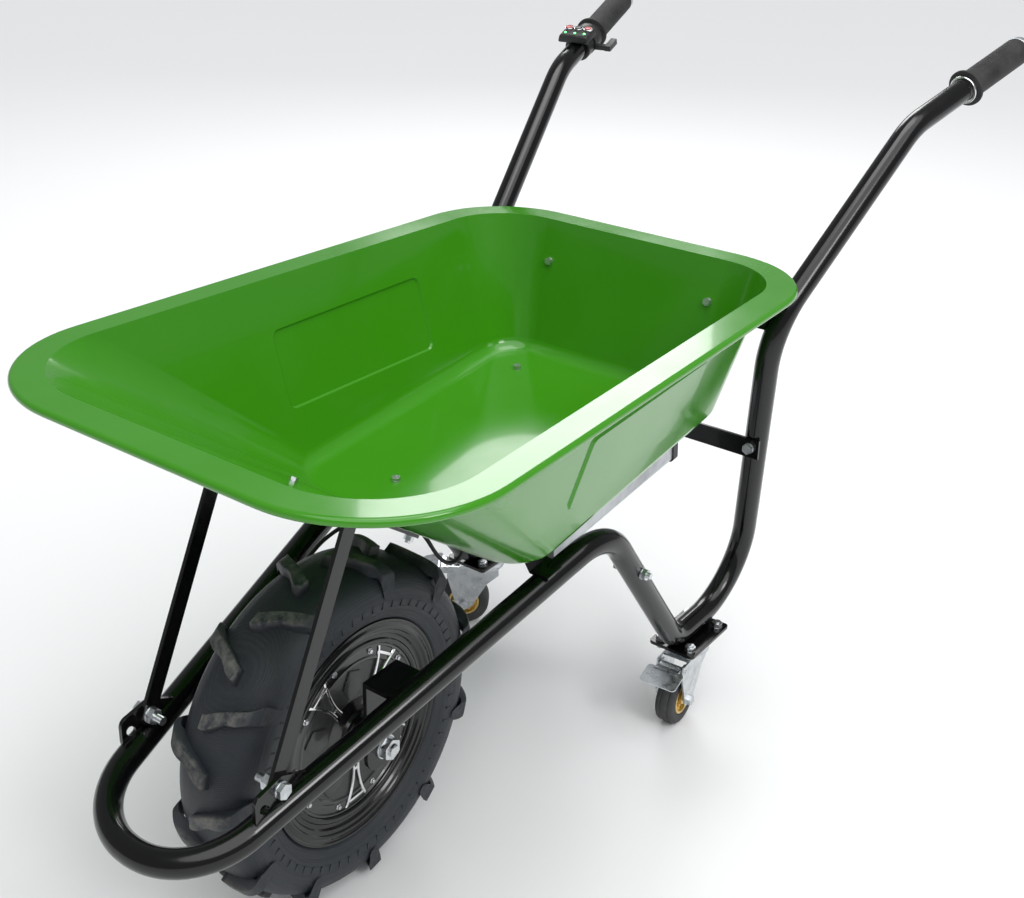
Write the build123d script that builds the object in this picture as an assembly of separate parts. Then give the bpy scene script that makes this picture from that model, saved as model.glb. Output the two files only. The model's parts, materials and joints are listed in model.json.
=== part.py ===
from build123d import *
import math
import os

# Power wheelbarrow, in mm. +X is forward (drive wheel), +Y is the operator's left, +Z is up.
# The origin is on the floor, under the middle of the overall length and width.

# ---- overall layout ----
AXLE_X = 404.23           # drive axle, ahead of the origin
AXLE_Z = 217.0            # drive axle above the floor
LEG_Y = 180.0             # legs and casters, off the centre line
FIT = 0.3                 # gap between neighbouring pieces
RUN = 0.05                # radial clearance of a running fit

# ---- tubes ----
TUBE_R = 16.0
TUBE_WALL = 2.0
LOOP_X = AXLE_X + 300.0
LOOP_Z = 226.4
LOOP_HALF = 84.0
LOOP_BEND = 95.0
KNEE_X = AXLE_X - 307.0
KNEE_Z = 399.0
KNEE_BEND = 75.0
LEG_SLOPE = 1.35          # fall of the front leg for each mm it runs back
SEAM_Z = 284.0            # where the rear tube plugs into the front tube
SPIGOT_LENGTH = 60.0
SPIGOT_SLACK = 0.2
CASTER_H = 121.0
PLATE_T = 5.0
FOOT_Z = CASTER_H + PLATE_T + TUBE_R
FOOT_BEND = 45.0
HEEL_X = AXLE_X - 683.0
HEEL_BEND = 95.0
HIP = (AXLE_X - 600.0, 234.0, 583.0)
HIP_BEND = 110.0
ELBOW = (AXLE_X - 862.0, 286.0, 808.0)
ELBOW_BEND = 110.0
HAND = (AXLE_X - 1108.0, 333.0, 877.0)

# ---- tray ----
SHEET = 1.5
FLOOR_FRONT_X = AXLE_X - 132.0
FLOOR_FRONT_Z = 419.0
FLOOR_REAR_X = AXLE_X - 590.0
FLOOR_REAR_Z = 459.0
RIM_FRONT_X = AXLE_X + 211.0
RIM_FRONT_Z = 666.0
RIM_REAR_X = AXLE_X - 634.0
RIM_REAR_Z = 649.0
WALL_Y = 184.3            # side wall at WALL_X and WALL_Z
WALL_X = AXLE_X - 361.0
WALL_Z = 439.0
TAPER = 0.045             # widening of the tray for each mm forward
WALL_LEAN = 0.31          # outward run of the side wall for each mm of height
FLOOR_CORNER = 60.0
FLOOR_REAR_CORNER = 50.0
RIM_CORNER = 125.0
RIM_REAR_CORNER = 98.0
FLANGE = 32.0
BEAD_R = 5.0
FLOOR_BEND = 24.0
PANEL_X = (AXLE_X - 440.0, AXLE_X - 165.0)
PANEL_Z = (494.0, 596.0)
PANEL_RISE = 2.5

# ---- drive wheel ----
TYRE_R = AXLE_Z
LUG_H = 11.0
TYRE_HALF = 56.0
RIM_R = 140.0
RIM_HALF = 47.0
DRUM_R = 112.0
DRUM_WALL = 5.0
COVER_T = 5.0
LUGS = 22
AXLE_R = 10.0
AXLE_HALF = 100.0
HANGER_Y = 78.0
HANGER_T = 6.0
NUT_AF = 24.0
AXLE_THREAD_R = 7.5
AXLE_FLAT = 5.5
AXLE_WASHER_T = 3.0
BEAD_DEPTH = 12.0
COVER_RIB = 3.0
COVER_Y = 32.0
HUB_R = 30.0
HUB_H = 22.0
BEARING_R = 21.0
BEARING_W = 12.0
SCREWS = 10
SCREW_PCD = 98.0
SCREW_R = 2.2

# ---- casters ----
CASTER_X = AXLE_X - 545.0
WHEEL_R = 39.0
WHEEL_HALF = 14.0
HUB_OUT_R = 24.0
TRAIL = 32.0
CASTER_PLATE_T = 3.0
CASTER_YAW = {"left": 4.0, "right": -56.0}
BOLT_DX = 38.0
BOLT_DY = 23.0
KING_R = 6.0
FORK_T = 2.5
FORK_TOP_Z = 106.0
FORK_GAP = 18.5
PEDAL_X = 50.0
PEDAL_Z = 96.0
PEDAL_PIN_R = 2.5
CASTER_AXLE_R = 4.0

# ---- battery ----
CASE_X = (AXLE_X - 590.0, AXLE_X - 295.0)
CASE_HALF = 104.0
CASE_H = 112.0
CASE_WALL = 2.5
CASE_BEND = 10.0          # outer radius of the case's lower corners
CASE_FLANGE_T = 3.0
CASE_FLANGE_W = 29.0      # how far the flange reaches beyond each side
CAP_T = 12.0
PACK_H = 82.0

# ---- brackets, braces and bars ----
BRACKET_T = 5.0
BRACKET_BOLT_X = AXLE_X + 188.0
BRACKET_RISE = 30.0       # brace bolt above the rail's centre
BRACE_BOLT_R = 5.0
BRACE_W = 20.0
BRACE_T = 5.0
BRACE_TOP_Z = 556.0
WALL_BOLT_Z = 483.0
TRAY_BOLT_R = 3.0
FLOOR_BOLTS = [(AXLE_X - 203.0, 68.0), (AXLE_X - 530.0, 118.0)]
BACK_BOLT_Z = 590.0
BACK_BOLT_Y = 129.0
BAR_T = 4.0
BAR_W = 36.0
STRAP_Z = 399.0
STRAP_W = 28.0
STRAP_BOLT_R = 4.0
SPLICE_BOLT_R = 4.0
CASTER_BOLT_R = 4.0

# ---- grips and controls ----
GRIP_LENGTH = 132.0
GRIP_R = 20.0
THROTTLE_W = 20.0
LEVER_W = 8.0
PANEL_START = -THROTTLE_W - 2 * FIT - LEVER_W
PANEL_LONG = 40.0
PANEL_WIDE = 52.0
PANEL_UP = 30.0
BUTTON_GAP = 16.0
BUTTON_R = 5.5
LAMP_R = 2.0

# ---- cable ----
CABLE_R = 2.6

# ---- slopes that follow from the sizes above ----
FLOOR_RISE = (FLOOR_REAR_Z - FLOOR_FRONT_Z) / (FLOOR_FRONT_X - FLOOR_REAR_X)
FLOOR_TILT = math.degrees(math.atan(FLOOR_RISE))
FRONT_WALL_RUN = (RIM_FRONT_X - FLOOR_FRONT_X) / (RIM_FRONT_Z - FLOOR_FRONT_Z)
REAR_WALL_RUN = (FLOOR_REAR_X - RIM_REAR_X) / (RIM_REAR_Z - FLOOR_REAR_Z)
RIM_SHARE = (RIM_FRONT_Z - RIM_REAR_Z) / (RIM_FRONT_X - RIM_REAR_X)
RAIL_SLOPE = (KNEE_Z - LOOP_Z) / (LOOP_X - KNEE_X)
RAIL_SPREAD = (LEG_Y - LOOP_HALF) / (LOOP_X - KNEE_X)


def rail_at(x):
    """Centre of the left rail at x: y and z."""
    return LOOP_HALF + RAIL_SPREAD * (LOOP_X - x), LOOP_Z + RAIL_SLOPE * (LOOP_X - x)


def floor_z(x):
    """Underside of the tray floor at x."""
    return FLOOR_FRONT_Z + FLOOR_RISE * (FLOOR_FRONT_X - x)


def side_y(x, z):
    """Outer face of the left side wall at x and height z."""
    return WALL_Y + WALL_LEAN * (z - WALL_Z) + TAPER * (x - WALL_X)


def leg_at(z):
    """X of the front leg's centre line at height z."""
    return KNEE_X - (KNEE_Z - z) / LEG_SLOPE


def mirrored(shape):
    return mirror(shape, about=Plane.XZ)


def swept(path, radius):
    return sweep(Plane(origin=path @ 0, z_dir=path % 0) * Circle(radius), path=path)


def rod(start, end, radius):
    """Round bar between two points."""
    a = Vector(*start)
    b = Vector(*end)
    plane = Plane(origin=a, z_dir=b - a)
    return extrude(plane * Circle(radius), (b - a).length)


def hex_prism(centre, axis, across, height):
    plane = Plane(origin=centre, z_dir=axis)
    return extrude(plane * RegularPolygon(across / 2, 6, major_radius=False), height)


def screw(seat, axis, radius, grip, head_h=None, nut=True, tail=3.0, washer=True, across=None):
    """Hex bolt from its head's seat along axis, with washers and a nut after the gripped thickness."""
    way = Vector(*axis).normalized()
    seat = Vector(*seat)
    across = across or 3.3 * radius
    head_h = head_h or 1.3 * radius
    wash_t = 0.4 * radius if washer else 0
    nut_h = 1.6 * radius
    length = grip + wash_t + nut_h + tail if nut else grip
    bolt = hex_prism(seat - way * (head_h + wash_t), way, across, head_h)
    bolt += extrude(Plane(origin=seat - way * wash_t, z_dir=way) * Circle(radius), length + wash_t)
    pieces = [bolt]
    if washer:
        ring = Circle(1.15 * across / 2) - Circle(radius)
        pieces[0] = bolt + extrude(Plane(origin=seat - way * wash_t, z_dir=way) * ring, wash_t)
    if nut:
        body = hex_prism(seat + way * (grip + wash_t), way, across, nut_h)
        body += extrude(Plane(origin=seat + way * grip, z_dir=way) * Circle(1.15 * across / 2), wash_t + 0.01)
        shank = extrude(Plane(origin=seat, z_dir=way) * Circle(radius), length)
        pieces.append(body - shank)
    return pieces


# ---- frame ----

def front_path():
    half = [
        (leg_at(SEAM_Z), LEG_Y, SEAM_Z),
        (KNEE_X, LEG_Y, KNEE_Z),
        (LOOP_X, LOOP_HALF, LOOP_Z),
    ]
    points = half + [(x, -y, z) for x, y, z in reversed(half)]
    return FilletPolyline(*points, radius=[KNEE_BEND, LOOP_BEND, LOOP_BEND, KNEE_BEND])


def rear_points():
    start_z = SEAM_Z + SPIGOT_LENGTH * LEG_SLOPE / math.hypot(1, LEG_SLOPE)
    return [
        (leg_at(start_z), LEG_Y, start_z),
        (leg_at(FOOT_Z), LEG_Y, FOOT_Z),
        (HEEL_X, LEG_Y, FOOT_Z),
        HIP,
        ELBOW,
        HAND,
    ]


def rear_path():
    return FilletPolyline(*rear_points(), radius=[FOOT_BEND, HEEL_BEND, HIP_BEND, ELBOW_BEND])


def front_frame_tube():
    path = front_path()
    return swept(path, TUBE_R) - swept(path, TUBE_R - TUBE_WALL)


def leg_tube_left():
    bore = TUBE_R - TUBE_WALL
    plug = bore - SPIGOT_SLACK
    path = rear_path()
    start = Vector(*rear_points()[0])
    seam = Vector(leg_at(SEAM_Z), LEG_Y, SEAM_Z)
    below = seam + (seam - start).normalized() * 20
    body = swept(path, TUBE_R) - swept(path, bore) - rod(start, seam, TUBE_R + 1)
    spigot = rod(start, seam, plug) + rod(seam, below, bore) - rod(start, below, plug - TUBE_WALL)
    return body + spigot - splice_hole() - strap_holes()


def solid_front_tube():
    return swept(front_path(), TUBE_R)


def front_brackets():
    """Plates standing on the rails ahead of the wheel, with an oval lashing hole."""
    y, z = rail_at(BRACKET_BOLT_X)
    y = y + 1.0
    x = BRACKET_BOLT_X
    outline = Polyline(
        (x - 42, z + 8),
        (x - 42, z + 26),
        (x - 4, z + 44),
        (x + 36, z + 36),
        (x + 36, z - 2),
        close=True,
    )
    face = make_face(outline)
    face = fillet(face.vertices().sort_by(Axis.X)[-2:], 10)
    plate = Pos(0, y, 0) * extrude(Plane.XZ * face, BRACKET_T / 2, both=True)
    plate -= Pos(x, y, z + BRACKET_RISE) * Rot(90, 0, 0) * Cylinder(BRACE_BOLT_R + 0.2, 20)
    hole = Plane(origin=(x + 23, y - 10, z + 18), x_dir=(1, 0, 1), z_dir=(0, 1, 0))
    plate -= extrude(hole * SlotOverall(15, 10), 20)
    plate = plate - solid_front_tube()
    plate = max(plate.solids(), key=lambda solid: solid.volume)
    return Compound([plate, mirrored(plate)])


def bracket_plane():
    """Inner face of the left bracket plate, and the height of its bolt."""
    y, z = rail_at(BRACKET_BOLT_X)
    return y + 1.0 - BRACKET_T / 2, z + BRACKET_RISE


def front_wall_x(z):
    """Outer face of the tray's front wall at height z."""
    return FLOOR_FRONT_X + FRONT_WALL_RUN * (z - FLOOR_FRONT_Z)


def wall_normal():
    """Unit vector out of the tray through the front wall."""
    return Vector(1, 0, -FRONT_WALL_RUN).normalized()


def brace_left():
    """Flat bar from the bracket up to the tray's front wall, its end folded back along the wall."""
    face_y, bolt_z = bracket_plane()
    n = wall_normal()
    low = Vector(BRACKET_BOLT_X, 0, bolt_z)
    top = Vector(front_wall_x(BRACE_TOP_Z), 0, BRACE_TOP_Z) + n * BRACE_T / 2
    end = Vector(front_wall_x(WALL_BOLT_Z), 0, WALL_BOLT_Z) + n * BRACE_T / 2
    tail = (end - top).normalized()
    middle_y = face_y - FIT / 3 - BRACE_T / 2
    reach = 14.0
    run = (top - low)
    flat = Plane(origin=(low.X, middle_y, low.Z), x_dir=run.normalized(), z_dir=(0, 1, 0))
    long = run.length + reach
    bar_face = flat * Pos((run.length - reach) / 2, 0) * SlotOverall(long, BRACE_W)
    lower = extrude(bar_face, BRACE_T / 2, both=True)
    block = Plane(origin=(top.X, middle_y, top.Z), x_dir=tail, z_dir=n)
    tab_len = (end - top).length + 12
    outline = Pos(tab_len / 2 - 12, (BRACE_T - BRACE_W) / 2) * Rectangle(tab_len + 6, BRACE_W)
    tab = extrude(block * outline, BRACE_T / 2, both=True)
    keep = Plane(origin=(front_wall_x(BRACE_TOP_Z), 0, BRACE_TOP_Z), z_dir=n)
    bar = split(lower + tab, bisect_by=keep, keep=Keep.TOP)
    bar -= Pos(low.X, middle_y, low.Z) * Rot(90, 0, 0) * Cylinder(BRACE_BOLT_R + 0.2, 20)
    hole = Vector(end.X, middle_y - (BRACE_W - BRACE_T) / 2, end.Z)
    bar -= rod(hole - n * 10, hole + n * 10, TRAY_BOLT_R + 0.2)
    return max(bar.solids(), key=lambda solid: solid.volume)


def brace_bolts():
    """M10 hex bolts through bracket and brace, head outside, long thread inside."""
    face_y, bolt_z = bracket_plane()
    seat = (BRACKET_BOLT_X, face_y + BRACKET_T, bolt_z)
    grip = BRACKET_T + BRACE_T + FIT / 3
    left = screw(seat, (0, -1, 0), BRACE_BOLT_R, grip, tail=12.0)
    return Compound(left + [mirrored(p) for p in left])


# ---- tray ----

def tray_section(xf, zf, xr, zr, yf, yr, front_corner, rear_corner):
    """Rounded four-sided outline whose front and rear edges lie at (xf, zf) and (xr, zr)."""
    half = math.hypot(xf - xr, zf - zr) / 2
    middle = ((xf + xr) / 2, 0, (zf + zr) / 2)
    plane = Plane(origin=middle, x_dir=(xf - xr, 0, zf - zr), z_dir=(zr - zf, 0, xf - xr))
    face = make_face(Polyline((half, -yf), (half, yf), (-half, yr), (-half, -yr), close=True))
    face = fillet(face.vertices().group_by(Axis.X)[-1], front_corner)
    face = fillet(face.vertices().group_by(Axis.X)[0], rear_corner)
    return plane * face


def tray_shell(skin):
    """Solid bounded by the tray's outer face moved inwards by skin."""
    front_in = skin * math.hypot(1, FRONT_WALL_RUN)
    rear_in = skin * math.hypot(1, REAR_WALL_RUN)
    side_in = skin * math.hypot(1, WALL_LEAN, TAPER)
    floor_up = skin * math.hypot(1, FLOOR_RISE)
    front_x = FLOOR_FRONT_X + (floor_up * FRONT_WALL_RUN - front_in) / (1 + FRONT_WALL_RUN * FLOOR_RISE)
    rear_x = FLOOR_REAR_X + (rear_in - floor_up * REAR_WALL_RUN) / (1 - REAR_WALL_RUN * FLOOR_RISE)
    front_z = floor_z(front_x) + floor_up
    rear_z = floor_z(rear_x) + floor_up
    lower = tray_section(
        front_x,
        front_z,
        rear_x,
        rear_z,
        side_y(front_x, front_z) - side_in,
        side_y(rear_x, rear_z) - side_in,
        FLOOR_CORNER - skin,
        FLOOR_REAR_CORNER - skin,
    )
    over = 2 * skin
    top_front_x = RIM_FRONT_X + over * FRONT_WALL_RUN - front_in
    top_rear_x = RIM_REAR_X - over * REAR_WALL_RUN + rear_in
    upper = tray_section(
        top_front_x,
        RIM_FRONT_Z + over,
        top_rear_x,
        RIM_REAR_Z + over,
        side_y(top_front_x, RIM_FRONT_Z + over) - side_in,
        side_y(top_rear_x, RIM_REAR_Z + over) - side_in,
        RIM_CORNER - skin,
        RIM_REAR_CORNER - skin,
    )
    body = loft([lower, upper])
    low_edges = body.faces().sort_by(Axis.Z)[0].edges()
    return fillet(low_edges, FLOOR_BEND - skin)


def side_panel(skin):
    """Pressed rectangle on the left wall, moved inwards by skin."""
    mid_x = sum(PANEL_X) / 2
    mid_z = sum(PANEL_Z) / 2
    lean = math.hypot(1, WALL_LEAN)
    origin = (mid_x, side_y(mid_x, mid_z), mid_z)
    plane = Plane(origin=origin, x_dir=(1, TAPER, 0), z_dir=(-TAPER, 1, -WALL_LEAN))
    wide = PANEL_X[1] - PANEL_X[0]
    tall = (PANEL_Z[1] - PANEL_Z[0]) * lean
    base = plane.offset(-skin - 1.0) * RectangleRounded(wide, tall, 12)
    top = plane.offset(PANEL_RISE - skin) * RectangleRounded(wide - 7, tall - 7, 8.5)
    return loft([base, top])


def rim_outline(grow):
    """Top edge of the tray wall moved outwards in its own plane."""
    return tray_section(
        RIM_FRONT_X + grow,
        RIM_FRONT_Z + grow * RIM_SHARE,
        RIM_REAR_X - grow,
        RIM_REAR_Z - grow * RIM_SHARE,
        side_y(RIM_FRONT_X, RIM_FRONT_Z) + grow,
        side_y(RIM_REAR_X, RIM_REAR_Z) + grow,
        RIM_CORNER + grow,
        RIM_REAR_CORNER + grow,
    )


def tray():
    outer = tray_shell(0) + side_panel(0) + mirrored(side_panel(0))
    inner = tray_shell(SHEET) + side_panel(SHEET) + mirrored(side_panel(SHEET))
    body = outer - inner
    rim = rim_outline(FLANGE)
    hole = rim_outline(-1.0)
    down = Vector(RIM_REAR_Z - RIM_FRONT_Z, 0, RIM_FRONT_X - RIM_REAR_X).normalized() * -1
    ring = extrude(rim, SHEET, dir=down) - extrude(hole, SHEET, dir=down)
    wire = rim.face().outer_wire().moved(Location(down * BEAD_R))
    bead = sweep(Plane(origin=wire @ 0, z_dir=wire % 0) * Circle(BEAD_R), path=wire)
    body = body + ring + bead
    for x, y in FLOOR_BOLTS:
        body -= Pos(x, y, floor_z(x)) * Cylinder(TRAY_BOLT_R + 0.3, 20)
        body -= Pos(x, -y, floor_z(x)) * Cylinder(TRAY_BOLT_R + 0.3, 20)
    for seat, way in wall_bolt_seats():
        body -= rod(seat - way * 8, seat + way * 8, TRAY_BOLT_R + 0.3)
        m = Vector(seat.X, -seat.Y, seat.Z)
        body -= rod(m - way * 8, m + way * 8, TRAY_BOLT_R + 0.3)
    return max(body.solids(), key=lambda s: s.volume)


def rear_wall_x(z):
    """Outer face of the tray's back wall at height z."""
    return FLOOR_REAR_X - REAR_WALL_RUN * (z - FLOOR_REAR_Z)


def rear_normal():
    """Unit vector out of the tray through the back wall."""
    return Vector(-1, 0, -REAR_WALL_RUN).normalized()


def wall_bolt_seats():
    """Outer-face points and outward directions of the bolts in the front and back walls, left side."""
    face_y, bolt_z = bracket_plane()
    front_y = face_y - FIT / 3 - BRACE_W / 2
    front = Vector(front_wall_x(WALL_BOLT_Z), front_y, WALL_BOLT_Z)
    back = Vector(rear_wall_x(BACK_BOLT_Z), BACK_BOLT_Y, BACK_BOLT_Z)
    return [(front, wall_normal()), (back, rear_normal())]


def tray_bolts():
    """M6 hex bolts with washers inside the tray and nuts beneath."""
    out = []
    tilt = math.radians(FLOOR_TILT)
    down = Vector(-math.sin(tilt), 0, -math.cos(tilt))
    grips = [SHEET + BAR_T, SHEET + CASE_FLANGE_T]
    for (x, y), grip in zip(FLOOR_BOLTS, grips):
        seat = Vector(x, y, floor_z(x)) - down * SHEET
        out += screw(seat, down, TRAY_BOLT_R, grip)
    for (point, way), grip in zip(wall_bolt_seats(), [SHEET + BRACE_T, SHEET + BAR_T]):
        out += screw(point - way * SHEET, way, TRAY_BOLT_R, grip)
    return Compound(out + [mirrored(p) for p in out])


def back_brackets():
    """Flat plates on the tray's back wall, welded to the uprights beside it."""
    n = rear_normal()
    inner = BACK_BOLT_Y - 16
    outer = HIP[1] + 6
    middle = (rear_wall_x(BACK_BOLT_Z), (inner + outer) / 2, BACK_BOLT_Z)
    seat = Plane(origin=middle, x_dir=(0, 1, 0), z_dir=n)
    plate = extrude(seat * RectangleRounded(outer - inner, 36, 4), BAR_T)
    bolt = Vector(rear_wall_x(BACK_BOLT_Z), BACK_BOLT_Y, BACK_BOLT_Z)
    plate -= rod(bolt - n * 10, bolt + n * 10, TRAY_BOLT_R + 0.3)
    plate -= swept(rear_path(), TUBE_R)
    plate = max(plate.solids(), key=lambda solid: solid.volume)
    return Compound([plate, mirrored(plate)])


def upright_at(z):
    """Centre of the left upright at height z."""
    share = (z - FOOT_Z) / (HIP[2] - FOOT_Z)
    return HEEL_X + share * (HIP[0] - HEEL_X), LEG_Y + share * (HIP[1] - LEG_Y)


def rear_strap():
    """Flat bar bolted across the front of both uprights."""
    x, y = upright_at(STRAP_Z)
    face_x = x + TUBE_R + 1.0
    bar = Pos(face_x + BAR_T / 2, 0, STRAP_Z) * Box(BAR_T, 2 * y + 28, STRAP_W)
    for side in (y, -y):
        bar -= Pos(face_x, side, STRAP_Z) * Rot(0, 90, 0) * Cylinder(STRAP_BOLT_R + 0.3, 20)
    tube = swept(rear_path(), TUBE_R)
    return bar - tube - mirrored(tube)


def strap_bolts():
    x, y = upright_at(STRAP_Z)
    seat = (x + TUBE_R + 1.0 + BAR_T, y, STRAP_Z)
    left = screw(seat, (-1, 0, 0), STRAP_BOLT_R, 2 * TUBE_R + 3.0 + BAR_T, tail=4)
    return Compound(left + [mirrored(p) for p in left])


def strap_holes():
    x, y = upright_at(STRAP_Z)
    return Pos(x, y, STRAP_Z) * Rot(0, 90, 0) * Cylinder(STRAP_BOLT_R + 0.3, 50)


def front_crossbar():
    """Flat bar on top of the rails, raised in the middle to carry the front of the tray floor."""
    x = FLOOR_BOLTS[0][0]
    y, z = rail_at(x)
    foot = z + TUBE_R * math.hypot(1, RAIL_SLOPE) + 0.5
    top = floor_z(x)
    with BuildSketch(Plane.YZ) as face:
        with BuildLine():
            Polyline(
                (-y - 12, foot),
                (-y + 14, foot),
                (-y + 34, top),
                (y - 34, top),
                (y - 14, foot),
                (y + 12, foot),
                (y + 12, foot - BAR_T),
                (y - 15, foot - BAR_T),
                (y - 36, top - BAR_T),
                (-y + 36, top - BAR_T),
                (-y + 15, foot - BAR_T),
                (-y - 12, foot - BAR_T),
                close=True,
            )
        make_face()
    bar = extrude(face.sketch, BAR_W / 2, both=True)
    bar = Pos(x, 0, 0) * bar
    for side in (FLOOR_BOLTS[0][1], -FLOOR_BOLTS[0][1]):
        bar -= Pos(x, side, top) * Cylinder(TRAY_BOLT_R + 0.3, 30)
    bar = Pos(x, 0, top) * Rot(0, FLOOR_TILT, 0) * Pos(-x, 0, -top) * bar
    bar -= solid_front_tube()
    return max(bar.solids(), key=lambda s: s.volume)


def splice_point():
    z = SEAM_Z + 28.0
    return leg_at(z), z


def splice_bolts():
    """M8 bolts through the plugged joint of each leg."""
    x, z = splice_point()
    left = screw((x, LEG_Y - TUBE_R, z), (0, 1, 0), SPLICE_BOLT_R, 2 * TUBE_R, tail=5)
    return Compound(left + [mirrored(p) for p in left])


def splice_hole():
    x, z = splice_point()
    return Pos(x, LEG_Y, z) * Rot(90, 0, 0) * Cylinder(SPLICE_BOLT_R + 0.3, 60)


def foot_plates():
    """Black plates welded under the legs to take the casters."""
    plate = Pos(CASTER_X, LEG_Y, CASTER_H + PLATE_T / 2) * Box(104, 70, PLATE_T)
    plate = fillet(plate.edges().filter_by(Axis.Z), 6)
    for dx in (-BOLT_DX, BOLT_DX):
        for dy in (-BOLT_DY, BOLT_DY):
            plate -= Pos(CASTER_X + dx, LEG_Y + dy, CASTER_H) * Cylinder(CASTER_BOLT_R + 0.3, 20)
    plate -= swept(rear_path(), TUBE_R)
    plate = max(plate.solids(), key=lambda s: s.volume)
    return Compound([plate, mirrored(plate)])


def caster_bolts():
    """M8 bolts up through the caster plates, dome nuts on top."""
    out = []
    for dx in (-BOLT_DX, BOLT_DX):
        for dy in (-BOLT_DY, BOLT_DY):
            seat = (CASTER_X + dx, LEG_Y + dy, CASTER_H - CASTER_PLATE_T)
            grip = CASTER_PLATE_T + PLATE_T
            out += screw(seat, (0, 0, 1), CASTER_BOLT_R, grip, head_h=4, tail=2, washer=False, across=13)
    return Compound(out + [mirrored(p) for p in out])


# ---- casters, built at the origin with the wheel trailing along +X ----

def caster_top():
    """Zinc top plate with its pressed bearing track."""
    z = CASTER_H - CASTER_PLATE_T
    plate = Pos(0, 0, z + CASTER_PLATE_T / 2) * Box(95, 66, CASTER_PLATE_T)
    plate = fillet(plate.edges().filter_by(Axis.Z), 5)
    plate += Pos(0, 0, z - 3.5) * Cone(21, 25, 7)
    plate -= Pos(0, 0, z - 3.5) * Cylinder(15, 7)
    for dx in (-BOLT_DX, BOLT_DX):
        for dy in (-BOLT_DY, BOLT_DY):
            plate -= Pos(dx, dy, z) * Cylinder(CASTER_BOLT_R + 0.3, 20)
    return plate - Pos(0, 0, z) * Cylinder(KING_R, 40)


def kingpin():
    """Rivet fixed in the top plate, its head holding the fork."""
    top = CASTER_H - CASTER_PLATE_T
    low = FORK_TOP_Z - FORK_T - FIT
    pin = Pos(0, 0, (top + low - 3) / 2 + 1) * Cylinder(KING_R, top - low + 5)
    pin += Pos(0, 0, low - 1.5) * Cylinder(11, 3)
    return pin


def caster_fork():
    """Pressed fork: round crown, lower bearing track and two tapering cheeks."""
    crown = Pos(0, 0, FORK_TOP_Z - FORK_T / 2) * Cylinder(29, FORK_T)
    crown += Pos(TRAIL / 2, 0, FORK_TOP_Z - FORK_T / 2) * Box(TRAIL + 14, 2 * FORK_GAP + 2 * FORK_T, FORK_T)
    track = Cylinder(28.5, 6) - Cylinder(26.5, 6)
    crown += Pos(0, 0, FORK_TOP_Z + 3) * track
    with BuildSketch(Plane.XZ) as side:
        with BuildLine():
            Polyline(
                (-22, FORK_TOP_Z),
                (TRAIL + 24, FORK_TOP_Z),
                (TRAIL + 26, FORK_TOP_Z - 18),
                (TRAIL + 11, WHEEL_R - 6),
                (TRAIL - 11, WHEEL_R - 6),
                (-4, FORK_TOP_Z - 29),
                (-22, FORK_TOP_Z - 13),
                close=True,
            )
        make_face()
        fillet(side.vertices().group_by(Axis.Y)[0], 9)
    cheek = extrude(side.sketch, FORK_T / 2, both=True)
    for y in (FORK_GAP + FORK_T / 2, -FORK_GAP - FORK_T / 2):
        crown += Pos(0, y, 0) * cheek
    crown -= Pos(0, 0, FORK_TOP_Z) * Cylinder(KING_R + RUN, 20)
    crown -= Pos(TRAIL, 0, WHEEL_R) * Rot(90, 0, 0) * Cylinder(CASTER_AXLE_R, 60)
    crown -= Pos(PEDAL_X, 0, PEDAL_Z) * Rot(90, 0, 0) * Cylinder(PEDAL_PIN_R, 60)
    return crown


def caster_tyre():
    deep = WHEEL_R - HUB_OUT_R
    profile = Pos(WHEEL_R - deep / 2, 0) * Rectangle(deep, 2 * WHEEL_HALF)
    profile = fillet(profile.vertices().group_by(Axis.X)[-1], 7)
    ring = revolve(Plane.XZ * profile, Axis.Z)
    for y in (-5, 5):
        ring -= Pos(0, 0, y) * (Cylinder(WHEEL_R + 1, 1.6) - Cylinder(WHEEL_R - 1.5, 1.6))
    return Pos(TRAIL, 0, WHEEL_R) * Rot(90, 0, 0) * ring


def caster_hub():
    hub = Cylinder(HUB_OUT_R, 24) - Cylinder(HUB_OUT_R - 4, 24)
    hub += Cylinder(HUB_OUT_R - 3.9, 5)
    hub += Cylinder(9, 2 * FORK_GAP - 1)
    for turn in range(5):
        spoke = Pos(14, 0, 0) * Box(16, 4, 20)
        hub += Rot(0, 0, turn * 72) * spoke
    hub -= Cylinder(CASTER_AXLE_R + RUN, 60)
    return Pos(TRAIL, 0, WHEEL_R) * Rot(90, 0, 0) * hub


def caster_axle():
    """Axle bolt held tight by its nut across the fork."""
    seat = (TRAIL, FORK_GAP + FORK_T, WHEEL_R)
    return Compound(screw(seat, (0, -1, 0), CASTER_AXLE_R, 2 * FORK_GAP + 2 * FORK_T, tail=2, washer=False))


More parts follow.
